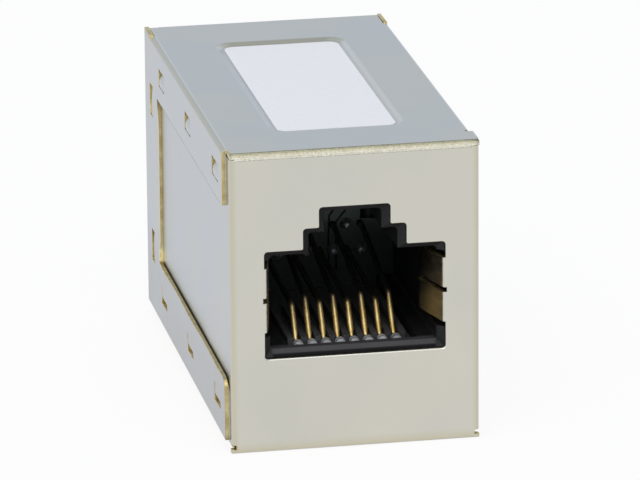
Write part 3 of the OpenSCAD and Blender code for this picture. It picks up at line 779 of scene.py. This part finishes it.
# %% Bottom, rear and top
def bottom_keep(x, y):
    """Cells of the bottom: full width beside the front fold, then narrower, with the flange's root."""
    root = (x > 0) & (y > wall_front) & (y < slot_y) & (x < left_fold_x)
    return (np.abs(x) < floor_x) | (y < y_front + fold_ro + relief) | root


def flange(y):
    """Flange of the bottom, drawn on the left: a fold, then a strip with windows."""
    z = lines([fold_ro, low_strip_top], spans([low_window_z], window_h))
    return [fold_patch(edge(-left_fold_x, y, 0), -UP, -RIGHT, fold_ro),
            left_patch(out_w / 2, y, z, lambda a, b: ~row_cells(a, b, [low_window_z], window_l, window_h))]


def recess(x, y):
    """Depth of the label's recess: a smooth step across its rounded border."""
    r = label_r + label_room
    gap_x, gap_y = np.abs(x - label_at[0]) - recess_x + r, np.abs(y - label_at[1]) - recess_y + r
    dx, dy = np.maximum(gap_x, 0), np.maximum(gap_y, 0)
    inner_gap = np.minimum(np.maximum(gap_x, gap_y), 0)
    beyond = np.hypot(dx, dy) - r + inner_gap
    return -recess_d * (1 - ramp(beyond / recess_run))


def top_keep(x, y):
    """Cells of the top: as wide as the wall, with a tab over the lip at the front."""
    return (x < right_fold_x) | (y < y_front + lip_l)


top_y = inside(panel_y, y_front, y_rear - fold_ro)
bottom = flat_patch(bottom_x, bottom_y, np.zeros(3), RIGHT, BACK, -UP, bottom_keep)
top = flat_patch(top_x, top_y, np.array([0, 0, shield_h]), RIGHT, BACK, UP, top_keep)
top = press(top, RIGHT, BACK, top_x, top_y, recess(*np.meshgrid(top_x, top_y, indexing="ij")))
skin += [bottom, top, plate_patch(rear_rays, y_rear, 1),
         fold_patch(edge(bottom_x, y_front, fold_ro), -BACK, -UP, fold_ro),
         fold_patch(edge(rear_low, y_rear, fold_ro), BACK, -UP, fold_ro),
         fold_patch(edge(rear_high, y_rear, shield_h - fold_ro), BACK, UP, fold_ro)]
skin += [mirrored(patch) for patch in flange(inside(bottom_y, wall_front, slot_y))]
print("with bottom, rear and top", len(skin), "patches")

# %% [markdown]
# The left outer panel hangs from the top: two strips along the side panel, joined at the rear. The
# lances push its lower strip out a little at each catch, so that edge is gently wavy. The right wall is
# a plain panel with three lances. Slots free both from the top near the rear.

# %% Outer panels
strip_corner_r, strip_bow = 0.8, 0.06
arc = 1 - np.cos(np.linspace(0, np.pi / 2, 6))


def hung_fold(x, y):
    """Fold from the top down into a panel on the left."""
    return fold_patch(edge(-x, y, shield_h), UP, -RIGHT, fold_ro)


def rounded_back(to_edge, r):
    """How far a rounded corner lies back, by the distance from its strip's edge."""
    gap = np.clip(r - to_edge, 0, r) * (to_edge >= -1e-6)
    return r - np.sqrt(r ** 2 - gap ** 2)


def left_keep(y, z):
    """Cells of the left outer panel: its strips, without its windows."""
    top_strip = (z > shield_h - top_strip_h) & (y > y_front + top_setback)
    strips = (z < low_strip_top) | (y > strip_rear) | top_strip
    return strips & ((z < shield_h - fold_ro) | (y > slot_y)) & ~catch_cells(y, z, window_l, window_h)


def left_panel(bow):
    """Left outer panel; its lower strip stands off by bow at each catch, and the wave fades above it."""
    y = inside(panel_y, y_front + low_setback, y_rear)
    z = lines(np.linspace(panel_low, low_strip_top, 9), low_strip_top - strip_corner_r * arc,
              shield_h - top_strip_h + cutout_r * arc, spans([top_window_z, low_window_z], window_h),
              spans(rear_window_z, window_l), [shield_h - fold_ro, shield_h])
    patch = left_patch(out_w / 2, y, z, left_keep)
    wave = 0.5 + 0.5 * np.cos(2 * np.pi * (y - window_y[0]) / (window_y[1] - window_y[0]))
    lift = np.clip((z - panel_low) / (low_strip_top - panel_low), 0, 1) ** 2
    lift = lift * (1 - ramp((z - low_strip_top - 2) / 5))
    patch = press(patch, BACK, UP, y, z, bow * np.outer(wave * ramp((strip_rear - y) / 2), lift))
    for start, to_edge, r in ((low_setback, low_strip_top - z, strip_corner_r),
                              (top_setback, z - shield_h + top_strip_h, cutout_r)):
        share = np.clip(1 - (y - y_front - start) / (2 * r), 0, 1)
        patch[0][..., 1] += np.outer(share, rounded_back(to_edge, r))
    return patch


def wall_keep(y, z):
    """Cells of the right wall: all but its lances and what is cut away over it."""
    below = (z < shield_h - fold_ro) | (y > slot_y)
    return below & ~row_cells(y, z, [low_window_z], lance_l, lance_h)


def right_wall():
    """Right wall with its lances, drawn on the left."""
    y = inside(panel_y, wall_front, y_rear)
    z = lines([panel_low, shield_h - fold_ro, shield_h], spans([low_window_z], lance_h))
    hinge, free = low_window_z - lance_h / 2, low_window_z + lance_reach
    return [left_patch(wall_x, y, z, wall_keep)] + [
        lance_patch(wall_x, lance_lines(y, centre), hinge, free, False, **gentle) for centre in window_y]


skin += [hung_fold(left_fold_x, inside(panel_y, y_front + top_setback, fold_end)), left_panel(strip_bow)]
wall = [hung_fold(right_fold_x, inside(panel_y, wall_front, fold_end))] + right_wall()
skin += [mirrored(patch) for patch in wall]
print("with outer panels", len(skin), "patches")

# %% [markdown]
# The skin is thickened last. The left outer panel lies tight on the panel under it, so its thickness reaches
# down to that one; only its lower strip gapes a little along the top, where the lances push it out. Most
# edges are sharp. Those over the port, round it and along the left panel's rear strip are rolled. Then each
# face gets its finish: brass on cut faces, but plate round the ports and on the rear strip's roll, where the
# punch drew it over. The level cut faces in the upper windows get the fingers' dark finish as painted shade.

# %% Thicken and finish the shield
edge_roll, port_roll, port_low_roll, rear_roll = 0.03, 0.06, 0.16, 0.14
plate_roll, top_roll, edge_burr = 0.26, 0.15, 0.006
strip_gap, contact_gap, top_drop = 0.11, 0.002, 0.1
near, margin, finger_deep = 1e-4, 0.2, 5


def at_port_height(z):
    """True for heights from just under the port's cut-out to just over it."""
    return (z > plug_z - 1) & (z < thumb_top + 1)


def edge_sizes(points):
    """Thickness and roll for each point of the skin."""
    x, y, z = points.T
    thickness, roll = np.full(len(x), sheet_t), np.full(len(x), edge_roll)
    hung = x < -out_w / 2 + 0.001
    gap = strip_gap * ramp(z - low_strip_top + 1) * ramp(strip_rear - y) * (z < low_strip_top + near)
    thickness[hung] = (-plate_w / 2 - x - contact_gap - gap)[hung]
    rear_edge = hung & (np.abs(y - strip_rear) < near) & (z > low_strip_top) & (z < shield_h - top_strip_h)
    roll[rear_edge] = rear_roll
    front_edge = np.abs(y - y_front) < near
    over_port = front_edge & (z > shield_h - 0.01)
    thickness[over_port] = sheet_t + layer_gap + top_drop
    on_plates = (np.abs(np.abs(y) - y_rear) < near) & (np.abs(x) < plate_w / 2 - 2)
    round_port = on_plates & at_port_height(z)
    roll[round_port] = port_roll
    roll[round_port & (z < plug_z - 0.3)] = port_low_roll
    roll[front_edge & (z > plate_top - near)] = plate_roll
    roll[over_port] = top_roll
    return thickness, roll


def finish_numbers(points, faces, is_cut):
    """Number of each face's finish, by where its middle lies."""
    corners = points[faces]
    facing = unit(np.cross(corners[:, 2] - corners[:, 0], corners[:, 3] - corners[:, 1]))
    x, y, z = corners.mean(axis=1).T
    number = np.where(is_cut, CUT, NICKEL)
    in_window = row_cells(y, z, [top_window_z], window_l + margin, window_h + margin)
    level = np.abs(facing[:, 2]) > 0.6
    # Painted shade: the level cut faces in the upper windows take the dark finger finish.
    number[is_cut & level & in_window & (x < -plate_w / 2)] = RUBBED_AND_SHADED
    number[is_cut & (x < rear_roll - out_w / 2) & (np.abs(y - strip_rear) < rear_roll + 0.02)] = NICKEL
    x, inward = np.abs(x), y_rear - np.abs(y)
    number[is_cut & (x < finger_root + sheet_t) & (inward < sheet_t + 0.1) & at_port_height(z)] = NICKEL
    number[is_cut & (corners[:, 0, 1] < y_front + fold_ro) & (z > plate_top - sheet_t)] = ROLLED
    on_finger = (x < finger_root - 0.1) & (inward > 0.1) & (inward < finger_deep)
    number[~is_cut & on_finger & (np.abs(z - finger_mid) < finger_h + 1)] = RUBBED_AND_SHADED
    return number


skin_points, skin_normals, quads = weld(skin)
thickness, roll = edge_sizes(skin_points)
points, normals, faces, is_cut = thicken(skin_points, skin_normals, quads, thickness, roll, edge_burr)
numbers = finish_numbers(points, faces, is_cut)
shield = make_piece("folded_shield", points, faces, sheet_finishes, normals, numbers)
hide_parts("shield")

# %% [markdown]
# A punch pressed the label's recess. A painted highlight makes the sloping sides of its border paler: its
# share is stored at each point, and the satin nickel reads it.

# %% Painted highlight on the recess's border
in_recess = (np.abs(points[:, :2] - label_at) < (recess_x + 1, recess_y + 1)).all(axis=1)
in_recess &= normals[:, 2] > 0.3
sunk = np.clip((shield_h - points[:, 2]) / recess_d, 0, 1) * in_recess
sideways = np.clip(4 * np.abs(normals[:, 0]), 0, 1)
# Painted highlight: the recess's left and right slopes are made paler.
highlit = np.clip(5 * sunk * (1 - sunk) * sideways, 0, 1)
ramp_highlight = shield.data.attributes.new("ramp_highlight", "FLOAT", "POINT")
ramp_highlight.data.foreach_set("value", highlit.astype(np.float32))
print("burnished points", int((highlit > 0.1).sum()))

# %% [markdown]
# ## Mouldings
# The housings and sleds are right as they are, so their solids stay. A moulding has no sharp edge, so
# the loose triangles are welded and the edges get a small bevel. Half a turn about the upright axis
# takes each piece of the front port to the rear one.

# %% Black plastic
ports = {"front": np.array([1, 1, 1]), "rear": np.array([-1, -1, 1])}
lip_h, lip_in = 0.25, 1.6


def moulded_black(name, colour, rough, gloss, lip=None):
    """Black moulding: a slight sheen and a fine spark-eroded texture. A colour for the lip paints a paler
    band on it as a highlight, and its foot is less glossy."""
    finish, tree = new_finish(name)
    clouds, texture = noise(tree, 0.5), noise(tree, 22.0, detail=2)
    shade = blend_colours(tree, clouds, colour, [c * 1.6 for c in colour])
    if lip:
        x, y, z = part_place(tree)
        across = rise_mm(tree, x, plug_w / 2 - 0.05, plug_w / 2 - 0.2)
        mouth = reckon(tree, "MULTIPLY", across, rise_mm(tree, y, y_rear - lip_in, y_rear - lip_in + 0.2))
        # Painted highlight: a paler band along the lip under the port's mouth.
        lip_highlight = reckon(tree, "MULTIPLY", between(tree, z, plug_z - lip_h, plug_z, 0.1), mouth)
        shade = mix_in(tree, lip_highlight, shade, lip)
        below = rise_mm(tree, z, plug_z - lip_h + 0.03, plug_z - lip_h - 0.09)
        foot = reckon(tree, "MULTIPLY", below, mouth)
        span = {"Value": foot, "To Min": gloss, "To Max": gloss / 5}
        gloss = add_node(tree, "MapRange", span).outputs["Result"]
    return coat(finish, {"Base Color": shade, "Specular IOR Level": gloss,
                         "Roughness": spread(tree, clouds, rough - 0.06, rough + 0.06),
                         "Normal": bump(tree, texture, 0.002)})


def dress(node, finish):
    """Give a solid its finish, in place of the one it was packed with."""
    mesh = nodes[node].data
    mesh.materials.clear()
    mesh.materials.append(finish)


def soften(node, width):
    """Weld a solid's loose triangles and bevel its edges by a width in millimetres."""
    weld_step = nodes[node].modifiers.new("weld", "WELD")
    weld_step.merge_threshold = 1e-6
    bevel = nodes[node].modifiers.new("bevel", "BEVEL")
    bevel.width = width * MM
    bevel.segments = 3
    bevel.limit_method = "ANGLE"
    bevel.angle_limit = np.radians(35)
    bevel.harden_normals = True


housing_black = moulded_black("housing_black", (0.006, 0.006, 0.0066), 0.5, 0.36, (0.045, 0.042, 0.048))
sled_black = moulded_black("sled_black", (0.05, 0.049, 0.053), 0.34, 0.5)
for port in ports:
    dress(port + "_jack_housing", housing_black)
    dress(port + "_contact_sled", sled_black)
    soften(port + "_jack_housing", 0.12)
    soften(port + "_contact_sled", 0.05)
print("mouldings dressed")

# %% [markdown]
# Where each contact leaves the comb, the plastic swells into a collar round it. The collars are painted pale
# grey as a highlight. Each is a short round bar with domed ends, over the plain bar of the solid.

# %% Collars
pitch, collar_in, collar_r, collar_l = 1.016, 3.16, 0.365, 0.44
collar_z = plug_z - 0.61
order = np.arange(1, 9)
contact_x = (order - 4.5) * pitch


def turned_profile(radius, along, sides=24):
    """Surface radius cos q, along, radius sin q, for q all the way round: points and quads."""
    q = np.linspace(0, 2 * np.pi, sides, endpoint=False)
    points = np.stack([np.outer(radius, np.cos(q)), np.outer(along, np.ones(sides)),
                       np.outer(radius, np.sin(q))], axis=-1)
    return points.reshape(-1, 3), grid_faces(len(radius), sides, closed=True)


def copies(one, faces, x, z):
    """The same surface moved to several places: all points, and quads numbered on from copy to copy."""
    places = np.stack([x, np.zeros(len(x)), z], axis=1)
    numbers = faces[None] + (np.arange(len(x)) * len(one))[:, None, None]
    return (one[None] + places[:, None]).reshape(-1, 3), numbers.reshape(-1, 4)


def collars():
    """Eight bars along Y: at t from -1 to 1 along the bar the radius is collar_r (1 - t^4)^(1/4)."""
    t = np.sin(np.linspace(-np.pi / 2, np.pi / 2, 15))
    radius = collar_r * (1 - t ** 4).clip(0) ** 0.25
    one, faces = turned_profile(radius, y_front + collar_in + collar_l * t)
    return copies(one, faces[:, ::-1], contact_x, np.full(len(order), collar_z))


collar_points, collar_faces = collars()
# Painted highlight: the collars get a pale grey colour.
collar_highlight = moulded_black("collar_highlight", (0.30, 0.30, 0.31), 0.4, 0.5)
for port, turned in ports.items():
    make_piece(f"{port}_collars", collar_points * turned, collar_faces, [collar_highlight])

# %% [markdown]
# ## Contacts
# Each contact is a round gold-flashed wire: from its tail in the board it runs forward to a knee and
# down to a foot under the comb. A curve object with a bevel would do. Here a circle is carried along
# the path with numpy, which keeps the tube's rings square to the wire through the bends.

# %% Contact wires
wire_d, wire_r = 0.42, 0.5
slope = np.radians(55)
foot_in, foot_z, foot_l = 3.7, plug_z - 1.25, 0.75
low_knee, high_knee, low_row, row_step = 1.65, 2.0, 2.1, 1.9
board_t, tail_out = 1.6, 0.5
board_u = shield_l / 2 - board_t / 2


def rounded_path(corners, radius, steps=9):
    """Points along a flat path of corners (u, z), with an arc at each inner corner."""
    points = [corners[:1]]
    for before, corner, after in zip(corners, corners[1:], corners[2:]):
        into, away = unit(corner - before), unit(after - corner)
        turn = np.arctan2(into[0] * away[1] - into[1] * away[0], into @ away)
        left_hand = np.sign(turn) * np.array([-into[1], into[0]])
        start = corner - radius * np.tan(abs(turn) / 2) * into
        q = np.linspace(0, abs(turn), steps)
        points.append(start + radius * (np.outer(np.sin(q), into) + np.outer(1 - np.cos(q), left_hand)))
    return np.concatenate(points + [corners[-1:]])


def tube(path, diameter, sides=20, end_l=0.3):
    """Circle of a diameter carried along a path in the depth and height plane; its domed ends stand out by
    end_l diameters."""
    way = unit(np.gradient(path, axis=0))
    across = np.stack([-way[:, 1], way[:, 0]], axis=1)
    q = np.linspace(0, 2 * np.pi, sides, endpoint=False)
    dome = np.radians([0, 30, 60, 80])
    last = len(path) - 1
    scale = np.concatenate([np.sin(dome), np.ones(len(path)), np.sin(dome[::-1])])
    shift = np.concatenate([-end_l * np.cos(dome), np.zeros(len(path)), end_l * np.cos(dome[::-1])])
    where = np.concatenate([np.repeat(0, len(dome)), np.arange(len(path)), np.repeat(last, len(dome))])
    centre_line = path[where] + (shift * diameter)[:, None] * way[where]
    ring = scale[:, None] * diameter / 2
    flat = centre_line[:, None] + (ring * np.cos(q))[..., None] * across[where][:, None]
    points = np.stack([ring * np.sin(q), flat[..., 0], flat[..., 1]], axis=-1)
    return points.reshape(-1, 3), grid_faces(len(where), sides, closed=True)


def contact_path(high_row):
    """Corners of a contact from its tail to its foot, as depth behind the port's face and height."""
    row_z = plug_z + low_row + (row_step if high_row else 0)
    knee_z = plug_z + (high_knee if high_row else low_knee)
    knee_in = foot_in + (knee_z - foot_z) / np.tan(slope)
    tail = [[board_u + board_t + tail_out, row_z], [board_u - 2 * wire_r, row_z]]
    return np.array(tail + [[knee_in, knee_z], [foot_in, foot_z], [foot_in - foot_l, foot_z]])


def gold_flash():
    """Gold on bronze wire: redder in places, with fine ticks from the forming tool; painted shade darkens it
    farther into the port.
    """
    finish, tree = new_finish("gold_flash")
    clouds, ticks = noise(tree, 0.9), noise(tree, 9.0, stretch=(7, 7, 1), detail=2)
    wire_shade_from, wire_shade_full = 4.9, 6.4
    # Painted shade: the wires darken farther into the port.
    behind = rise_mm(tree, part_place(tree)[1], y_rear - wire_shade_from, y_rear - wire_shade_full)
    colour = blend_colours(tree, clouds, (0.56, 0.385, 0.135), (0.88, 0.69, 0.33))
    return coat(finish, {"Base Color": mix_in(tree, behind, colour, (0.11, 0.10, 0.09)), "Metallic": 1.0,
                         "Roughness": spread(tree, ticks, 0.36, 0.48), "Normal": bump(tree, ticks, 0.002)})


gold = gold_flash()
for number, x in zip(order, contact_x):
    wire, wire_faces = tube(rounded_path(contact_path(number % 2 == 0), wire_r), wire_d)
    wire = wire + np.array([x, y_front, 0])
    for port, turned in ports.items():
        piece = make_piece(f"{port}_wire_{number}", wire * turned, wire_faces, [gold])
        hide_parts(f"{port}_contact_{number}")

# %% [markdown]
# ## Circuit board
# The board stands between the jacks and shows only through the latch slot: green lacquer over copper,
# with darker lines where the copper is left out. The lines are low ridges carried along their paths.


# %% Solder mask and its lines
def solder_mask(name, first, second, gloss):
    """Dark green lacquer over glass cloth: glossy, with the weave just showing, and darker low down."""
    finish, tree = new_finish(name)
    clouds, weave = noise(tree, 0.4), noise(tree, 3.0, stretch=(1, 1, 4))
    dark_from, dark_full = 3.6, 5.4
    # The lacquer is mixed towards a quarter of its colour low down.
    darker_low = rise_mm(tree, part_place(tree)[2], latch_top - dark_from, latch_top - dark_full)
    colour = mix_in(tree, darker_low, blend_colours(tree, clouds, first, second), [c / 4 for c in first])
    return coat(finish, {"Base Color": colour, "Specular IOR Level": gloss,
                         "Roughness": spread(tree, weave, 0.29, 0.37), "Normal": bump(tree, weave, 0.004)})


def ribbon(path, width, tall=0.02):
    """Low ridge along a path (x, z) on the board's front: its section has sloping sides and a flat top, and
    shrinks to a point at both ends."""
    way = unit(np.gradient(path, axis=0))
    across = np.stack([-way[:, 1], way[:, 0]], axis=1)
    where = np.concatenate([[0], np.arange(len(path)), [len(path) - 1]])
    full = np.ones(len(where))
    full[[0, -1]] = 0
    aside = np.outer(full, np.array([-1, -0.8, 0.8, 1]) * width / 2)
    flat = path[where][:, None] + aside[..., None] * across[where][:, None]
    out = np.outer(full, np.array([0, 1, 1, 0]) * tall)
    points = np.stack([flat[..., 0], -board_t / 2 - out, flat[..., 1]], axis=-1)
    return points.reshape(-1, 3), grid_faces(len(where), 4, closed=True)[:, ::-1]


dress("circuit_board", solder_mask("solder_mask", (0.072, 0.096, 0.08), (0.092, 0.122, 0.104), 0.4))
bare = solder_mask("bare_line", (0.002, 0.005, 0.004), (0.003, 0.007, 0.006), 0.1)
line_w, field_w, line_bend = 0.13, 0.9, 0.1
line_paths = {"upper_line": ([(1.76, 12.78), (1.28, 12.17), (1.2, 10.6), (1.2, 8.0)], line_w),
              "lower_line": ([(2.65, 12.72), (2.0, 11.93), (1.76, 11.64), (1.76, 8.0)], line_w),
              "blank_field": ([(3.58, 12.26), (4.4, 12.22), (5.33, 12.17)], field_w)}
for name, (corners, width) in line_paths.items():
    ridge, ridge_faces = ribbon(rounded_path(np.array(corners), line_bend), width)
    for port, turned in ports.items():
        make_piece(f"{port}_{name}", ridge * turned, ridge_faces, [bare])

# %% [markdown]
# Each contact's tail ends in a dome of solder on the board's far face, a profile turned about the tail.

# %% Solder domes
dome_r, dome_skirt, dome_cover = 0.36, 0.12, 0.12


def solder():
    """Tin solder: dull silver, frosted in small patches as it set."""
    finish, tree = new_finish("solder")
    frost = noise(tree, 4.0)
    return coat(finish, {"Base Color": blend_colours(tree, frost, (0.50, 0.51, 0.53), (0.62, 0.63, 0.64)),
                         "Metallic": 1.0, "Roughness": spread(tree, frost, 0.5, 0.62),
                         "Normal": bump(tree, frost, 0.006)})


def domes(x, z, tall):
    """Domes on the board's front: at height tall sin q the radius is
    dome_r cos^0.7 q + dome_skirt (1 - sin q)^3, and a flat base closes each."""
    q = np.concatenate([[0], np.linspace(0, np.pi / 2, 12)])
    radius = dome_r * np.cos(q).clip(0) ** 0.7 + dome_skirt * (1 - np.sin(q)) ** 3
    radius[0] = 0
    return copies(*turned_profile(radius, -tall * np.sin(q) - board_t / 2), x, z)


tail_z = plug_z + low_row + row_step * (order % 2 == 0)
dome_points, dome_faces = domes(-contact_x, tail_z, tail_out + dome_cover)
solder_finish = solder()
for port, turned in ports.items():
    make_piece(f"{port}_solder", dome_points * turned, dome_faces, [solder_finish])

# %% [markdown]
# ## Label
# A white paper label lies in the recess of the top. A plane with bevelled corners would do. Here every
# row of a grid is as wide as the rounded outline is there, and the grid is thickened like the sheet.


# %% Label
def label_paper():
    """White coated paper with faint fibres."""
    finish, tree = new_finish("label_paper")
    fibres = noise(tree, 6.0, stretch=(1, 3, 1))
    colour = blend_colours(tree, fibres, (0.835, 0.825, 0.88), (0.865, 0.855, 0.91))
    return coat(finish, {"Base Color": colour, "Roughness": spread(tree, fibres, 0.42, 0.52),
                         "Normal": bump(tree, fibres, 0.002)})


def rounded_sheet(width, length, radius):
    """Flat grid x = w(y) t, y; w narrows along an arc near the ends, so that the corners are round."""
    q = np.linspace(0, np.pi / 2, 9)
    half = lines(np.linspace(0, length / 2 - radius, 20), length / 2 - radius + radius * np.sin(q))
    y = lines(-half, half)
    past = np.maximum(np.abs(y) - length / 2 + radius, 0)
    w = width / 2 - radius + np.sqrt(np.maximum(radius ** 2 - past ** 2, 0))
    t = np.linspace(-1, 1, 15)
    size = (len(t), len(y))
    points = np.stack([np.outer(t, w), np.broadcast_to(y, size), np.zeros(size)], axis=-1)
    return points, np.broadcast_to(UP, points.shape).copy(), np.ones((len(t) - 1, len(y) - 1), bool)


paper_roll, paper_burr = 0.02, 0.005
label_low, label_high = (np.array(corner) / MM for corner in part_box("label"))
label_t = label_high[2] - label_low[2]
paper, paper_normals, paper_quads = weld([rounded_sheet(label_w, label_l, label_r)])
paper = paper + np.array([*label_at, label_high[2]])
even = np.ones(len(paper))
paper, paper_normals, paper_faces, _ = thicken(paper, paper_normals, paper_quads, label_t * even,
                                               paper_roll * even, paper_burr)
label = make_piece("paper_label", paper, paper_faces, [label_paper()], paper_normals)
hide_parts("label")

# %% [markdown]
# ## Floor and light
# A plain pale floor and a soft studio: one broad lamp above the front, and a pale cool room with a darker
# ceiling. Metal shows what stands round it, so the room and the floor matter as much as the lamp.


# %% Floor
def pale_floor(own_white, mirror_white):
    """White card. A share of its white is given straight to the camera, and another to mirrors and glass."""
    finish, tree = new_finish("floor_card")
    coat(finish, {"Base Color": (0.88, 0.88, 0.88, 1), "Roughness": 0.9})
    ray = add_node(tree, "LightPath", {}).outputs
    seen = reckon(tree, "MULTIPLY", ray["Is Camera Ray"], own_white)
    mirror = reckon(tree, "MAXIMUM", ray["Is Glossy Ray"], ray["Is Transmission Ray"])
    mirror = reckon(tree, "MULTIPLY", mirror, mirror_white)
    card = tree.nodes["Principled BSDF"].outputs["BSDF"]
    white = add_node(tree, "Emission", {}).outputs["Emission"]
    mix = add_node(tree, "MixShader", {"Fac": reckon(tree, "MAXIMUM", seen, mirror), 1: card, 2: white})
    feed(tree, tree.nodes["Material Output"], {"Surface": mix.outputs["Shader"]})
    return finish


floor_size, floor_z, floor_lines = 1500.0, -0.01, 9
steps = np.linspace(-floor_size, floor_size, floor_lines)
gx, gy = np.meshgrid(steps, steps, indexing="ij")
floor_points = np.stack([gx, gy, np.full(gx.shape, floor_z)], axis=-1).reshape(-1, 3)
floor_faces = grid_faces(floor_lines, floor_lines)[:, ::-1]
floor_mesh = bpy.data.meshes.new("floor")
floor_mesh.from_pydata((floor_points * MM).tolist(), [], floor_faces.tolist())
floor_mesh.materials.append(pale_floor(0.9, 0.62))
floor = bpy.data.objects.new("floor", floor_mesh)
bpy.context.scene.collection.objects.link(floor)
print("floor", 2 * floor_size, "mm wide")

# %% [markdown]
# The lamp is as broad as it is far, so that its image has no hard edge in the satin metal. The room is
# a gradient by height alone.


# %% Lamp and room
def softbox(name, at, towards, size, power, colour):
    """Square area lamp at a place in millimetres, facing a point."""
    lamp = bpy.data.objects.new(name, bpy.data.lights.new(name, "AREA"))
    lamp.data.shape = "SQUARE"
    lamp.data.size = size * MM
    lamp.data.energy = power
    lamp.data.color = colour
    lamp.visible_camera = False
    away = unit(np.asarray(at, float) - np.asarray(towards, float))
    side = unit(np.cross(UP, away))
    turn = np.eye(4)
    turn[:3, :3] = np.stack([side, np.cross(away, side), away], axis=1)
    turn[:3, 3] = np.asarray(at) * MM
    lamp.matrix_world = Matrix(turn.tolist())
    bpy.context.scene.collection.objects.link(lamp)


softbox("key", (-200, -500, 700), (0, 0, 10), 900, 4.0, (1.0, 0.98, 0.95))
wall_colour, ceiling_colour = (0.775, 0.83, 0.88), (0.45, 0.49, 0.48)
world = bpy.data.worlds.new("room")
bpy.context.scene.world = world
world.use_nodes = True
room = world.node_tree
direction = add_node(room, "TexCoord", {}).outputs["Generated"]
upward = add_node(room, "SeparateXYZ", {"Vector": direction}).outputs["Z"]
room_colour = mix_in(room, rise(room, upward, 0.25, 0.95), wall_colour, ceiling_colour)
feed(room, room.nodes["Background"], {"Color": room_colour, "Strength": 1.0})
print("room lit")
